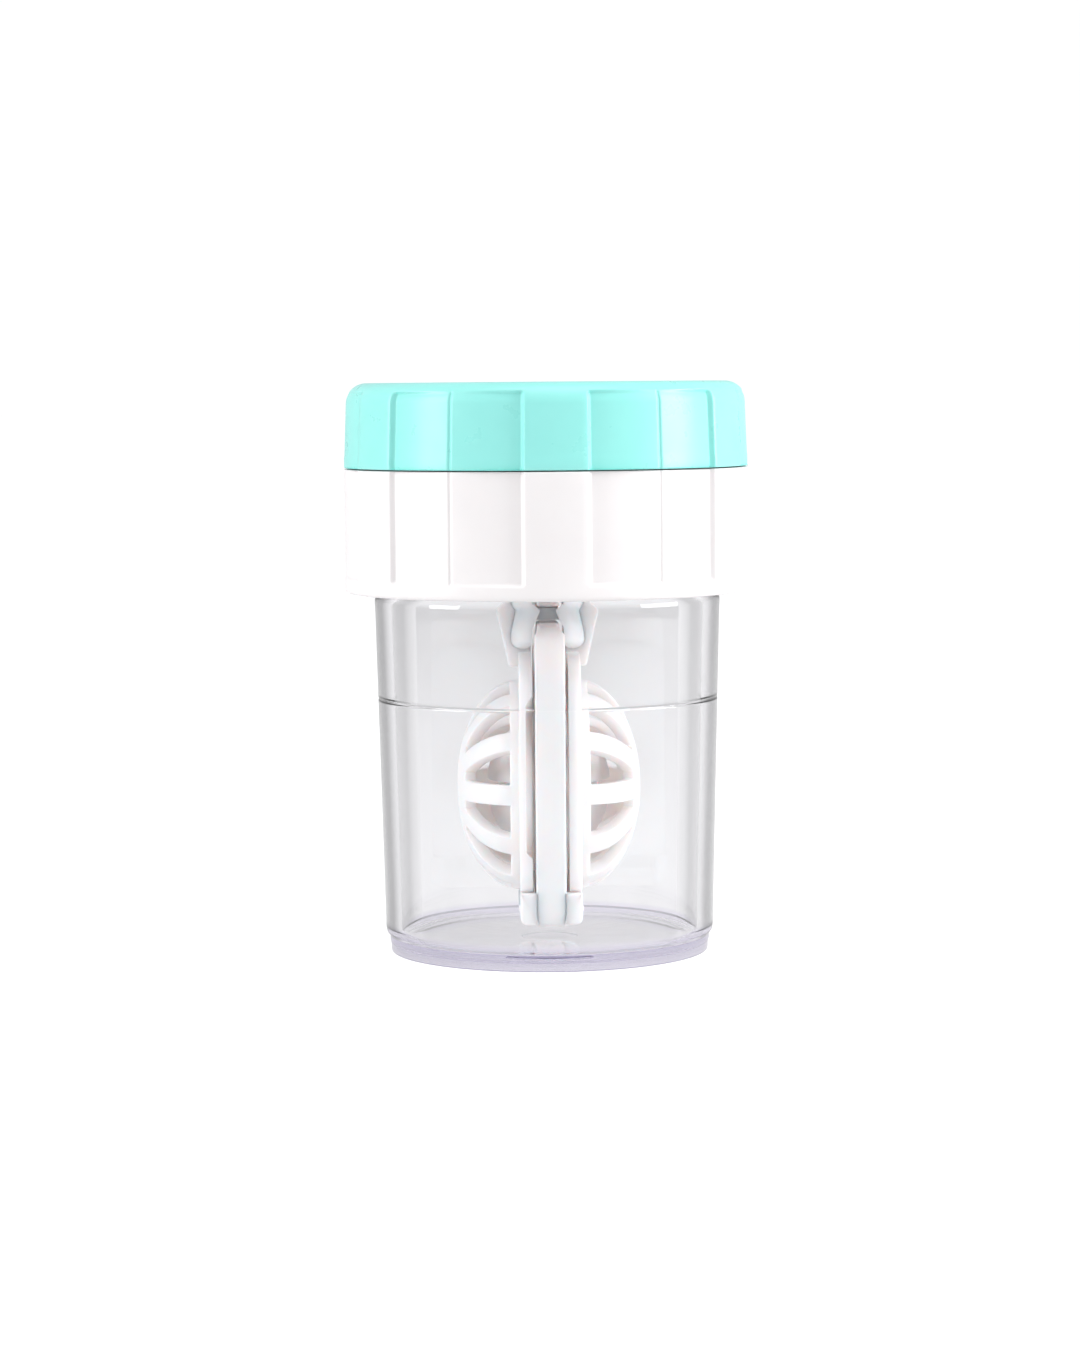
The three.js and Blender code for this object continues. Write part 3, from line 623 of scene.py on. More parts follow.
def grip_depth(angles):
    """How far the surface lies under the full radius, in millimetres.

    A steep rounded side beside the land, a straight slope to the crease, and the crease's groove."""
    phase = grip_phase(angles)
    along = np.clip((phase - LAND_HALF) / (PERIOD / 2 - LAND_HALF), 0, 1)
    slope = 0.03 + PANEL_DEPTH * (1 - along)
    side = smooth_step(phase, LAND_HALF - 0.45, LAND_HALF + 0.95)
    groove = 0.15 * np.exp(-(((PERIOD / 2 - phase) / 0.42) ** 2))
    return side * slope + groove


def grip_directions():
    """Directions with extra columns at the sides of the lands and at the creases."""
    half = np.unique(np.round(np.concatenate([
        np.linspace(0, 8.5, 6), np.linspace(8.6, 10.6, 13),
        np.linspace(11.5, 28.6, 13), np.linspace(28.9, 30, 9),
    ]), 4))
    one = np.unique(np.concatenate([-half, half[half < 29.999]]))
    all_round = (np.arange(6)[:, None] * PERIOD + one[None, :]).ravel() - 90 + LAND_TURN
    return np.radians(np.sort(all_round % 360))


LID_ROUND = grip_directions()
print(len(LID_ROUND), "directions, depth from", grip_depth(LID_ROUND).min().round(3),
      "to", grip_depth(LID_ROUND).max().round(3), "mm")

# %% [markdown]
# ## The knob
#
# A moulded knob is a hollow cup turned upside down, with a hub inside that takes the square end of
# the stem. It could be cut from a cylinder with booleans, but a profile carried round the axis gives
# smooth flanks, and the grip and the square socket come from changing the radius of a few rows.

# %% knob
EDGE_RADIUS = 2.2
DRAFT = 0.25
GRIP_TOP_Z = TOP_Z - 0.85


def rounded_square(a):
    """Reach of a square with round corners: (|cos a|^p + |sin a|^p)^(-1/p) with p = 14."""
    return (np.abs(np.cos(a)) ** 14 + np.abs(np.sin(a)) ** 14) ** (-1 / 14)


def knob_profile():
    """Closed profile from the socket's roof, round the skirt and over the top to the axis, with a
    grip share for each row (1 on the outer wall) and a square share (1 in the socket).

    The wall leans in by DRAFT and ends in a quarter circle: r = R - e (1 - cos t), z = Z + e sin t."""
    roof, hub, skirt = TOP_Z - 1.8, PARTING_Z + 0.95, PARTING_Z + 0.06
    inside = eased([
        (0, roof), (2.3, roof), (2.3, hub), (4.6, hub), (4.6, roof), (18.4, roof), (19.2, roof - 0.8),
        (19.2, skirt + 1.3), (18.8, skirt + 0.9), (19.2, skirt + 0.3), (19.2, skirt),
    ], [0, 0.1, 0.3, 0.3, 0.8, 0.5, 0.5, 0.15, 0.2, 0.2, 0.1], 4)
    foot = eased([(19.2, skirt), (LID_RADIUS, skirt), (LID_RADIUS, skirt + 1)], 0.16, 6)
    edge_z = TOP_Z - EDGE_RADIUS
    wall_z = np.linspace(skirt + 1.3, edge_z, 12)
    wall_r = LID_RADIUS - DRAFT * (wall_z - skirt) / (edge_z - skirt)
    t = np.linspace(0, math.pi / 2, 40)[1:]
    round_r = wall_r[-1] - EDGE_RADIUS * (1 - np.cos(t))
    round_z = edge_z + EDGE_RADIUS * np.sin(t)
    crown = refined(np.array([(round_r[-1], TOP_Z), (0, TOP_Z)]), 2.0)
    outside = np.stack([np.r_[wall_r, round_r], np.r_[wall_z, round_z]], axis=1)
    line = np.vstack([inside, foot[1:], outside, crown[1:]])
    grip = np.zeros(len(line))
    first = len(inside) + 3
    grip[first:len(inside) + len(foot) - 1 + len(outside)] = 1
    grip *= 1 - smooth_step(line[:, 1], GRIP_TOP_Z - 0.35, GRIP_TOP_Z + 0.05)
    in_socket = (np.arange(len(line)) < len(inside)) & (line[:, 0] < 2.5)
    return line, grip, in_socket


def make_knob():
    """Radius = profile radius - grip share * depth(angle); the socket's rows follow the rounded
    square."""
    line, grip, in_socket = knob_profile()
    a = LID_ROUND
    square = rounded_square(a)
    radius = line[:, :1] - grip[:, None] * grip_depth(a)[None, :]
    radius = np.where(in_socket[:, None], line[:, :1] * square[None, :], radius)
    return make_piece("knob_shell", *shell(turned(line, a, radius)), sharp_deg=50)


place(make_knob(), mint_plastic, "rotor", "knob")

# %% [markdown]
# ## Threads
#
# A jar-type case needs only short thread ribs. A rib climbs with the angle, so on a grid it is a
# raised band: a bump in height round a line that rises one lead in a whole turn. Three starts
# stand a third of a turn apart. The same function makes the cup's ribs and, with the sign turned
# round, the ribs inside the ring.

# %% thread ribs
THREAD_LEAD, THREAD_STARTS = 8.1, 3
CUP_THREAD_Z, CUP_THREAD_SWEEP = 40.2, 150
RING_THREAD_Z, RING_THREAD_SWEEP = 41.5, 100


def thread_height(angles, z, first_deg, low_z, sweep_deg, height=0.72, half=0.62):
    """Height of the thread ribs over the wall on a (rows, columns) grid, in millimetres.

    height * (1 - (dz / half)^2) where |dz| < half, with dz the distance in z from the rib's line,
    and faded over 9 degrees at each end."""
    total = np.zeros((len(z), len(angles)))
    for start in range(THREAD_STARTS):
        turn = (np.degrees(angles)[None, :] - first_deg - start * 360 / THREAD_STARTS) % 360
        fade = smooth_step(turn, 0, 9) * (1 - smooth_step(turn, sweep_deg - 9, sweep_deg))
        dz = z[:, None] - (low_z + THREAD_LEAD * turn / 360)
        total = np.maximum(total, fade * height * np.clip(1 - (dz / half) ** 2, 0, 1))
    return total


print("thread ribs ready")

# %% [markdown]
# ## The screw ring
#
# The ring is one moulding: a skirt with the thread inside, a deck over the cup's rim, a bearing
# sleeve for the stem under the deck, and a collar above it on which the knob snaps and turns. Its
# profile closes on itself, so the grid closes both ways, like a very odd-shaped tyre.

# %% screw ring


def ring_profile():
    """Closed profile, with a grip share for the rows of the outer wall and a thread share for the
    rows of the inner wall."""
    low, deck_low, deck = RING_BOTTOM_Z, RIM_Z + 1.3, PARTING_Z - 0.15
    bore = 18.8
    sleeve = eased([
        (3.4, deck), (3.4, 43.6), (5.4, 43.6), (5.4, deck_low), (bore, deck_low), (bore, deck_low - 1),
    ], [0, 0.3, 0.3, 0.8, 0.5, 0], 4)
    thread_z = np.arange(deck_low - 1.2, low + 0.6, -0.16)
    thread_wall = np.stack([bore + 0 * thread_z, thread_z], axis=1)
    foot = eased([
        (bore, low + 0.5), (bore + 0.35, low), (LID_RADIUS, low), (LID_RADIUS, low + 1.25),
    ], [0, 0.2, 0.95, 0], 9)
    wall_z = np.concatenate([
        np.linspace(low + 1.3, low + 2.1, 9), np.linspace(low + 2.6, PARTING_Z - 1, 14),
    ])
    wall = np.stack([LID_RADIUS + 0 * wall_z, wall_z], axis=1)
    head = eased([(LID_RADIUS, PARTING_Z - 0.9), (LID_RADIUS, PARTING_Z - 0.07), (19.6, PARTING_Z - 0.07)],
                 0.14, 6)
    collar = eased([
        (19.6, PARTING_Z - 0.07), (19.5, deck), (18.5, deck), (18.5, PARTING_Z + 1.55),
        (18.85, PARTING_Z + 1.85), (18.5, PARTING_Z + 2.65), (17.3, PARTING_Z + 2.65), (17.3, deck),
        (3.4, deck),
    ], [0, 0.05, 0.3, 0.1, 0.2, 0.2, 0.3, 0.4, 0], 4)
    parts = [sleeve, thread_wall, foot, wall, head, collar[1:-1]]
    line = np.vstack(parts)
    starts = np.cumsum([0] + [len(part) for part in parts])
    grip = np.zeros(len(line))
    grip[starts[3]:starts[4] + 4] = 1
    grip *= smooth_step(line[:, 1], low + 1.42, low + 1.85)
    thread = np.zeros(len(line), bool)
    thread[starts[1]:starts[2]] = True
    return line, grip, thread


def make_ring():
    """Radius = profile radius - grip share * depth(angle) - thread height on the inner wall."""
    line, grip, thread = ring_profile()
    a = LID_ROUND
    first = 360 * (RING_THREAD_Z - CUP_THREAD_Z) / THREAD_LEAD - 60
    ribs = thread_height(a, line[:, 1], first, RING_THREAD_Z, RING_THREAD_SWEEP)
    radius = line[:, :1] - grip[:, None] * grip_depth(a)[None, :] - thread[:, None] * ribs
    return make_piece("screw_ring_shell", *shell(turned(line, a, radius), close_rows=True), sharp_deg=50)


place(make_ring(), white_plastic, "ring", "screw_ring")

# %% [markdown]
# ## The clear cup
#
# A clear piece must be a real closed wall with two surfaces, or light would not bend in it as it
# does in the real one. The profile runs from the middle of the floor up the inside, over the rim,
# down the thread and the outside, and under the foot to the small gate recess. The wall is
# about 1.7 mm thick all the way up, the foot is stepped in, and a fine groove across the front
# marks how far to fill it.

# %% cup
FILL_Z = 26.4
LINE_DEPTH, LINE_HALF = 0.1, 0.1


def cup_profile():
    """Open profile from axis to axis; the rows of the neck carry the thread."""
    inside = eased([
        (0, 1.7), (13.2, 1.7), (15.42, 1.75), (15.45, 4.2), (16.2, 36.8), (16.15, RIM_Z),
        (16.9, RIM_Z),
    ], [0, 0.5, 1.7, 1.6, 2, 0.35, 0], 9)
    rim = eased([(16.9, RIM_Z), (17.6, RIM_Z), (17.6, 46.6)], 0.4, 6)[1:]
    neck_z = np.arange(46.45, 38.2, -0.16)
    neck = np.stack([17.6 + 0 * neck_z, neck_z], axis=1)
    shoulder = eased([(17.6, 38.1), (17.62, 37.6), (17.92, 36.8), (17.86, 35.5)], [0, 0.3, 0.5, 0], 6)
    wall_z = np.unique(np.r_[np.arange(3.6, 35.4, 1.2), FILL_Z + np.linspace(-0.36, 0.36, 19)])[::-1]
    wall = np.stack([np.interp(wall_z, [3.6, 35.3], [17.1, 17.85]), wall_z], axis=1)
    foot = eased([
        (17.09, 3.4), (17.08, 2.5), (17.0, 2.1), (16.66, 1.75), (16.66, 1.08), (16.54, 0.96),
        (16.54, 0.0), (2.9, 0.0), (2.85, 0.12), (0, 0.12),
    ], [0, 0.3, 0.14, 0.1, 0.05, 0.05, 0.2, 0.04, 0.04, 0], 8)
    parts = [refined(inside, 1.5), rim, neck, shoulder, wall, refined(foot, 1.5)]
    line = np.vstack(parts)
    starts = np.cumsum([0] + [len(part) for part in parts])
    thread, outer = np.zeros(len(line), bool), np.zeros(len(line), bool)
    thread[starts[2]:starts[3]] = True
    outer[starts[4]:starts[5]] = True
    return line, thread, outer


def make_cup():
    """Radius = profile radius + thread height on the neck - the fill line's groove on the wall.

    The groove is g exp(-(dz / w)^2) deep, and runs round the front half of the cup."""
    line, thread, outer = cup_profile()
    a = np.linspace(0, 2 * math.pi, 360, endpoint=False)
    ribs = thread_height(a, line[:, 1], 0, CUP_THREAD_Z, CUP_THREAD_SWEEP)
    groove = LINE_DEPTH * np.exp(-(((line[:, 1] - FILL_Z) / LINE_HALF) ** 2))
    front = smooth_step(-np.sin(a), -0.1, 0.1)
    radius = line[:, :1] + thread[:, None] * ribs - (outer * groove)[:, None] * front[None, :]
    return make_piece("cup_wall", *shell(turned(line, a, radius)), sharp_deg=60)


place(make_cup(), clear_plastic, "cup", "cup")

# %% [markdown]
# ## The seals
#
# A flat washer lies between the cup's rim and the deck, and an O-ring sits in the stem's groove.
# Both are turned bodies with round edges.

# %% seals


def make_gasket():
    """A flat ring: the rounded rectangle between the solid's two radii and two heights."""
    low, high = float(gasket_low[2]), float(gasket_high[2])
    outer, inner = float(gasket_high[0]), 16.25
    middle = (low + high) / 2
    line = eased([
        (inner, middle), (inner, low), (outer, low), (outer, high), (inner, high), (inner, middle),
    ], 0.2, 5)[:-1]
    return make_piece("rim_washer", *shell(turned(line, ROUND), close_rows=True))


def make_seal():
    """A torus: tube radius 0.55 round the circle of radius 2.8, at the height of the solid."""
    t = np.linspace(0, 2 * math.pi, 24, endpoint=False)
    z = float(seal_low[2] + seal_high[2]) / 2
    line = np.stack([2.8 + 0.55 * np.cos(t), z + 0.55 * np.sin(t)], axis=1)
    return make_piece("stem_o_ring", *shell(turned(line, ROUND[::2]), close_rows=True))


place(make_gasket(), silicone, "gasket", "rim_gasket")
place(make_seal(), silicone, "rotor", "stem_seal")

# %% [markdown]
# ## Plates with round edges
#
# The webs, the lens plate and its ears are flat pieces with rounded edges. A flat piece is a stack
# of copies of its outline: from a point in the middle of one face out to the edge, round the edge
# and back to the middle of the other face. Each row of the grid is the outline, pulled in by a
# little and set at its own height, so the edge gets its round in the same step.

# %% flat piece helper


def pillow(outline, half, edge=0.25, steps=5, fill=4):
    """A flat closed piece: outline is a loop of (u, v) points, anticlockwise, the thickness runs
    from -half to half in w. Rows are (outline pulled in by d, w): d falls from the whole distance
    to the middle down to edge, then follows a quarter circle to 0, and back on the other side."""
    loop = np.asarray(outline, float)
    ahead = np.roll(loop, -1, axis=0) - np.roll(loop, 1, axis=0)
    inward = np.stack([-ahead[:, 1], ahead[:, 0]], axis=1)
    inward /= np.linalg.norm(inward, axis=1)[:, None]
    q = np.linspace(0, math.pi / 2, steps)
    pull = edge * (1 - np.sin(q))
    height = half - edge + edge * np.cos(q)
    middle = loop.mean(axis=0)
    rim = loop[None] + inward[None] * pull[:, None, None]
    share = np.linspace(0, 1, fill, endpoint=False)[:, None, None]
    face = middle[None, None] * (1 - share) + rim[:1] * share
    rows = np.concatenate([face, rim])
    w = np.r_[np.full(fill, half), height]
    points = np.concatenate([rows, rows[::-1]])
    heights = np.r_[w, -w[::-1]]
    w_grid = np.broadcast_to(heights[:, None, None], points.shape[:2] + (1,))
    return np.concatenate([points, w_grid], axis=2)


def closed_loop(corners, ease, steps=6, step=1.2):
    """A closed outline with eased corners and points at most step apart."""
    p = np.asarray(corners, float)
    e = np.broadcast_to(np.asarray(ease, float), len(p))
    start = (p[0] + p[-1]) / 2
    line = eased(np.vstack([start, p, start]), np.r_[0, e, 0], steps)
    return refined(line, step)[:-1]


def facing(grid, axes):
    """Reorders the last axis of a (u, v, w) grid to x, y, z; axes says which of u, v, w each is."""
    return grid[..., list(axes)]


print("flat pieces ready")

# %% [markdown]
# ## The stem
#
# The stem is the shaft between the knob and the lens plate. A turned body carries the flange and
# the groove of the O-ring; below it two prongs grip the plate's head, with an inverted V between
# them; a thin web on each side tapers down beside the prongs. A prong's section is a circle cut
# off by a straight side, and it is carried down the axis while that side moves out with the V.

# %% stem


def shaft():
    """Turned body from above the fork to the foot of the square end."""
    line = eased([
        (0, 36.9), (2.9, 36.9), (3.0, 38.4), (3.4, 41), (5.4, 42.4), (5.4, 43.3), (3.1, 43.3),
        (3.1, 45.3), (2.2, 45.3), (2.2, 46.7), (3.1, 46.7), (3.1, 50.9), (0, 50.9),
    ], [0, 0.3, 0.6, 1, 0.4, 0.25, 0.25, 0.12, 0.12, 0.12, 0.12, 0.3, 0], 5)
    return shell(turned(refined(line, 0.8), ROUND[::2]))


def square_end():
    """The driven end: a rounded square of side 4, from inside the shaft to the knob's roof."""
    a = ROUND[::2]
    line = eased([(0, 49.5), (2, 49.5), (2, float(stem_high[2])), (0, float(stem_high[2]))], 0.3, 4)
    return shell(turned(line, a, line[:, :1] * rounded_square(a)[None, :]))


def prong(side):
    """One prong of the fork: the section x >= c(z) of a circle of radius R(z).

    R swells from the neck of the shaft to the fork's full radius and eases in at the tip; c is half
    the plate and its gap up to the head's shoulder, and falls nearly to 0 at the notch's apex."""
    z = np.concatenate([31.45 + 1.1 * np.linspace(0, 1, 12) ** 1.6, np.linspace(32.8, 38.4, 22)])
    swell = np.interp(z, [31.4, 32.5, 33.4, 34.6, 35.7, 37.2, 38.4],
                      [3.86, 3.87, 3.8, 3.56, 3.3, 3.05, 2.95])
    tip = np.sqrt(np.clip(1 - ((32.5 - z) / 1.06).clip(0, 1) ** 2, 0, 1))
    cut = np.interp(z, [32, 33.8, 37.2, 38.4], [1.62, 1.62, 0.06, 0.06])
    phi = np.arccos(np.clip(cut / swell, -1, 1))
    arc = np.linspace(-1, 1, 41)[None, :] * phi[:, None]
    bow_x, bow_y = swell[:, None] * np.cos(arc), swell[:, None] * np.sin(arc)
    chord = np.linspace(1, -1, 15)[None, 1:-1]
    flat_y = swell[:, None] * np.sin(phi)[:, None] * chord
    x = np.hstack([bow_x, cut[:, None] + 0 * flat_y])
    y = np.hstack([bow_y, flat_y])
    middle = (cut[:, None] + swell[:, None]) / 2
    x = middle + (x - middle) * tip[:, None]
    y = y * tip[:, None]
    rows = np.stack([side * x, y, z[:, None] + 0 * x], axis=-1)
    cap = rows[-1:].mean(axis=1, keepdims=True) + 0 * rows[-1:]
    return shell(np.concatenate([rows, cap]))


def web(side):
    """A thin plate in the x-z plane that narrows downwards, with a round edge."""
    outline = closed_loop([
        (1.75, 29.6), (4.05, 29.6), (5.75, 37.4), (5.75, 40.6), (3.4, 41.8), (2.0, 41.8), (1.75, 34),
    ], 0.35)
    grid = facing(pillow(outline, 0.5, 0.3), (0, 2, 1)) * np.array([side, 1, 1])
    return shell(grid)


def notch_wall():
    """The root between the prongs, which closes the notch over the plate's head."""
    outline = closed_loop([(-2.3, 34.7), (2.3, 34.7), (2.3, 41.5), (-2.3, 41.5)], 0.2)
    return shell(facing(pillow(outline, 1.7, 0.15), (0, 2, 1)))


stem_piece = make_piece("stem_and_fork", *together(
    shaft(), square_end(), prong(1), prong(-1), web(1), web(-1), notch_wall()))
place(stem_piece, milky_plastic, "rotor", "stem")

# %% [markdown]
# ## The lens plate
#
# The plate stands in the middle and both lenses lie against it, one on each side, each on a low
# dome inside a seat ring. Two ears on each side, low down, carry the hinge pins of the doors. All
# of them are closed shells that run into each other, which renders like one moulding.

# %% lens plate
SEAT_Z = 17.3
PLATE_HALF = 1.5


def plate_body():
    """The flat plate. Its head is bevelled: half thickness = 1.5, less 0.5 over the top 0.9 mm."""
    half_y, low, high = float(plate_high[1]), float(plate_low[2]), float(plate_high[2])
    outline = closed_loop([(-half_y, low), (half_y, low), (half_y, high), (-half_y, high)], 1.6, 8, 0.7)
    grid = facing(pillow(outline, PLATE_HALF, 0.22), (2, 0, 1))
    bevel = np.clip((grid[..., 2] - (high - 0.9)) / 0.9, 0, 1) * 0.33
    grid[..., 0] *= 1 - bevel
    return shell(grid)


def dome(side):
    """The lens rest: a cap of the ball of radius 8, cut by two crossed grooves 1.3 wide, as a
    height over the plate's face on a polar grid; it closes inside the plate."""
    ring = np.concatenate([np.linspace(0, 7.3, 34), [7.4]])[:, None]
    a = ROUND[None, :]
    y, z = ring * np.cos(a), ring * np.sin(a)
    cap = np.sqrt(64 - ring**2) - math.sqrt(64 - 7.4**2)
    groove = np.minimum(np.abs(y), np.abs(z))
    depth = (1 - smooth_step(groove, 0.45, 0.75)) * smooth_step(cap, 0.0, 1.3)
    depth = depth * np.minimum(1.3, cap)
    x = PLATE_HALF + cap - np.where(np.maximum(np.abs(y), np.abs(z)) < 0.1, 1.3, depth)
    top = np.stack([side * x + 0 * a, side * y, SEAT_Z + z], axis=-1)
    base = top[-1:].copy()
    base[..., 0] = side * (PLATE_HALF - 0.4)
    centre = base.copy()
    centre[..., 1:] = (0, SEAT_Z)
    return shell(np.concatenate([top, base, centre]))


def seat_ring(side):
    """A low round rib about the dome: a profile (radius, height) turned about the x axis."""
    line = eased([
        (8.2, 1.2), (8.2, 2.0), (9.0, 2.0), (9.0, 1.2), (8.2, 1.2)], [0, 0.25, 0.25, 0.1, 0], 5)[:-1]
    r, x = line[:, :1], line[:, 1:]
    a = ROUND[None, :]
    grid = np.stack([side * x + 0 * a, side * r * np.cos(a), SEAT_Z + r * np.sin(a)], axis=-1)
    return shell(grid, close_rows=True)


def ear(side, end):
    """A hinge ear: a flat piece 1.2 thick with a round lower corner, standing off the face."""
    outline = closed_loop([(1.3, 4.2), (3.08, 4.2), (3.08, 7.45), (1.3, 7.45)], [0.1, 1.1, 0.12, 0.1])
    grid = facing(pillow(outline, 0.6, 0.25), (0, 2, 1)) * np.array([side, 1, 1])
    grid[..., 1] += end * 11.4
    return shell(grid)


plate_piece = make_piece("lens_plate_body", *together(
    plate_body(), dome(1), dome(-1), seat_ring(1), seat_ring(-1),
    ear(1, 1), ear(1, -1), ear(-1, 1), ear(-1, -1)))
place(plate_piece, milky_plastic, "rotor", "lens_plate")

# %% [markdown]
# ## The cage doors
#
# A door is a flat frame with an egg-shaped cage of twelve ribs standing on it. Cutting the windows
# out of a solid leaves ragged edges; a sheet with holes is cleaner. The outer skin is one polar
# grid round the middle of the cage: hub, ribs, rim, foot, and then out over the frame to its edge.
# The faces of the windows are simply left out, Solidify gives the wall, and Bevel rounds its edges.

# %% cage door
CAGE_RADIUS, CAGE_DEPTH, WALL = 10.9, 6.5, 1.25
HUB_RADIUS, HUB_HOLE, RIB_HALF, RIBS = 5.75, 2.0, 1.04, 12
FRAME_X = 3.05
HINGE_X, HINGE_Z = 2.5, 5.7
DOOR_HALF_Y, DOOR_CORNER = 11.8, 3.2
NOTCH_RADIUS, NOTCH_RISE = 4.9, 2.6
EAR_Y, EAR_TOP_Z = 10.5, 7.6
CHANNEL_LOW_Z, CHANNEL_HIGH_Z, THIN_SHARE = 11.2, 26.6, 0.52


def frame_edge(y_dir, z_dir):
    """Distance from the cage's middle to the frame's edge along each direction, by halving.

    Inside means: in the rectangle with round corners, outside the round notch at the top,
    and outside the two corners where the ears of the plate stand."""
    near, far = np.full(y_dir.shape, 10.95), np.full(y_dir.shape, 22.0)
    low, high = HINGE_Z, float(door_high[2])
    for _ in range(26):
        middle = (near + far) / 2
        y, z = middle * y_dir, SEAT_Z + middle * z_dir
        qy = np.abs(y) - (DOOR_HALF_Y - DOOR_CORNER)
        qz = np.abs(z - (low + high) / 2) - ((high - low) / 2 - DOOR_CORNER)
        corner = np.hypot(np.maximum(qy, 0), np.maximum(qz, 0))
        outside = corner + np.minimum(np.maximum(qy, qz), 0) - DOOR_CORNER
        notch = NOTCH_RADIUS - np.hypot(y, z - (high + NOTCH_RISE))
        ears = np.minimum(np.abs(y) - EAR_Y, EAR_TOP_Z - z)
        inside = np.maximum(np.maximum(outside, notch), ears) < 0
        near, far = np.where(inside, middle, near), np.where(inside, far, middle)
    return near


def cage_columns():
    """Shares across each sector between ribs: 0 to 1 rib half, 1 to 2 window, 2 to 3 rib half."""
    one = np.concatenate([np.linspace(0, 1, 4)[:-1], np.linspace(1, 2, 8)[:-1], np.linspace(2, 3, 4)[:-1]])
    return (np.arange(RIBS)[:, None] * 3 + one[None, :]).ravel()


def door_sheet():
    """Outer skin as a grid (rows, columns, 3) and the mask of the faces that are kept.

    Rows: hub hole to hub edge, along the ellipse x = X + D sqrt(1 - (r/R)^2), foot, frame edge.
    Columns: the rib's edges run parallel, so its half angle at radius r is asin(half / r)."""
    hub_r = np.array([HUB_HOLE, 2.6, 3.6, 4.8, HUB_RADIUS])
    t = np.linspace(math.asin(HUB_RADIUS / CAGE_RADIUS), math.acos(0.95 / CAGE_DEPTH), 13)[1:]
    rim_t = np.linspace(t[-1], math.pi / 2, 3)[1:]
    r = np.concatenate([hub_r, CAGE_RADIUS * np.sin(t), CAGE_RADIUS * np.sin(rim_t)])
    x = FRAME_X + CAGE_DEPTH * np.sqrt(np.clip(1 - (r / CAGE_RADIUS) ** 2, 0, 1))
    x[-1] = FRAME_X
    share = cage_columns()
    sector, part = np.floor(share / 3), share % 3
    step = 2 * math.pi / RIBS
    rib = np.minimum(np.arcsin(np.clip(RIB_HALF / r, 0, 1)), 0.4 * step)[:, None]
    inside = np.interp(part, [0, 1, 2, 3], [0, 0, 1, 1])[None, :]
    outer_rib = np.clip(part, 0, 1)[None, :] * rib
    last_rib = (np.clip(part - 2, 0, 1))[None, :] * rib
    angle = sector[None, :] * step + outer_rib + inside * (step - 2 * rib) + last_rib
    y, z = r[:, None] * np.cos(angle), r[:, None] * np.sin(angle)
    cage = np.stack([x[:, None] + 0 * y, y, SEAT_Z + z], axis=-1)
    y_dir, z_dir = np.cos(angle[-1]), np.sin(angle[-1])
    edge = frame_edge(y_dir, z_dir)
    out = np.array([0.35, 0.7, 1.0])[:, None]
    reach = CAGE_RADIUS + (edge - CAGE_RADIUS) * out
    flat = np.stack([FRAME_X + 0 * reach, reach * y_dir, SEAT_Z + reach * z_dir], axis=-1)
    points = np.concatenate([cage, flat])
    rows, columns = points.shape[:2]
    in_window = (part >= 1 - 1e-6) & (part < 2 - 1e-6)
    row = np.arange(rows - 1)
    window_row = (row >= len(hub_r) - 1) & (row < len(hub_r) - 1 + len(t))
    keep = ~(window_row[:, None] & in_window[None, :])
    return points, keep


def hinge_barrel(side):
    """The barrel along the door's lower edge and the thinner pin that reaches into the ears."""
    line = eased([
        (0, -11.3), (0.4, -11.3), (0.4, -10.5), (0.72, -10.5), (0.72, 10.5), (0.4, 10.5), (0.4, 11.3),
        (0, 11.3),
    ], [0, 0.12, 0.02, 0.12, 0.12, 0.02, 0.12, 0], 4)
    line = refined(line, 1.5)
    a = ROUND[::6]
    r, along = line[:, :1], line[:, 1:]
    x = side * (HINGE_X + r * np.cos(a))
    return shell(np.stack([x, along + 0 * a, HINGE_Z + r * np.sin(a)], axis=-1))


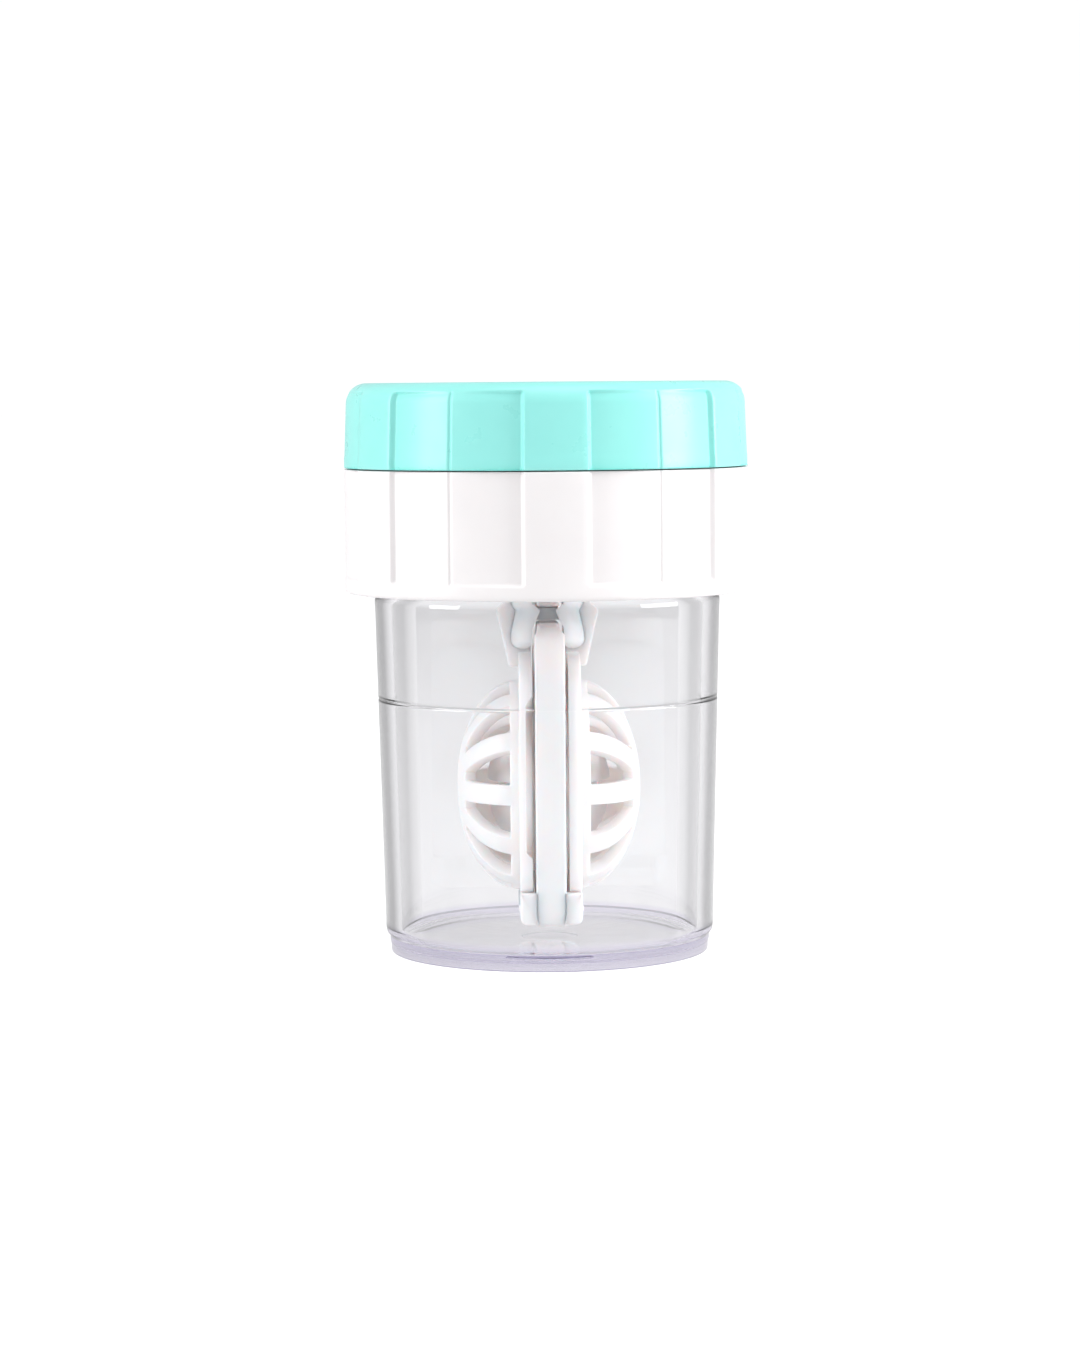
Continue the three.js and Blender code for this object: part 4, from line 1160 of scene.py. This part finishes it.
def walled(name, points, faces, thickness, share, bevel):
    """The sheet as a closed wall: Solidify away from the normal, thinner where share is below 1,
    then Bevel on the edges; the result is read back as plain points and faces."""
    mesh = bpy.data.meshes.new(name)
    mesh.from_pydata((points * MM).tolist(), [], faces.tolist())
    sheet = bpy.data.objects.new(name, mesh)
    bpy.context.scene.collection.objects.link(sheet)
    group = sheet.vertex_groups.new(name="wall")
    for level in np.unique(share):
        group.add(np.flatnonzero(share == level).tolist(), float(level), "REPLACE")
    wall = sheet.modifiers.new("wall", "SOLIDIFY")
    wall.thickness = thickness * MM
    wall.offset = -1
    wall.use_even_offset = True
    wall.vertex_group = "wall"
    edge = sheet.modifiers.new("edge", "BEVEL")
    edge.width = bevel * MM
    edge.segments = 3
    edge.limit_method = "ANGLE"
    edge.angle_limit = math.radians(42)
    bpy.context.view_layer.update()
    done = sheet.evaluated_get(bpy.context.evaluated_depsgraph_get()).to_mesh()
    co = np.empty(len(done.vertices) * 3)
    done.vertices.foreach_get("co", co)
    polygons = [tuple(polygon.vertices) for polygon in done.polygons]
    bpy.data.objects.remove(sheet)
    return co.reshape(-1, 3) / MM, polygons


def make_door(side, name, thin_share):
    """side is 1 for the right door and -1 for the left, which is its mirror image in x.

    thin_share is the share of the wall that is left where a rinse channel crosses the frame."""
    grid, keep = door_sheet()
    rows, columns = grid.shape[:2]
    faces = grid_faces(rows, columns).reshape(rows - 1, columns, 4)[keep]
    points = grid.reshape(-1, 3) * np.array([side, 1, 1])
    if side > 0:
        faces = faces[:, ::-1]
    share = np.ones((rows, columns))
    z = grid[..., 2]
    channel = (z > CHANNEL_LOW_Z) & (z < CHANNEL_HIGH_Z) & (np.arange(rows) > rows - 3)[:, None]
    share[channel] = thin_share
    solid, polygons = walled(name + "_sheet", points, faces, WALL, share.ravel(), 0.2)
    barrel_points, barrel_faces = hinge_barrel(side)
    all_faces = polygons + (barrel_faces + len(solid)).tolist()
    mesh = bpy.data.meshes.new(name)
    mesh.from_pydata((np.vstack([solid, barrel_points]) * MM).tolist(), [], all_faces)
    piece = bpy.data.objects.new(name, mesh)
    bpy.context.scene.collection.objects.link(piece)
    tidy_mesh(mesh)
    mesh.set_sharp_from_angle(angle=math.radians(50))
    low, high = mesh_span(mesh)
    print(f"{name}: {len(mesh.polygons)} faces, x {low[0]:.2f} to {high[0]:.2f} mm")
    return piece


place(make_door(1, "cage_door_right", 1.0), milky_plastic, "door_right", "door_right")
place(make_door(-1, "cage_door_left", THIN_SHARE), milky_plastic, "door_left", "door_left")
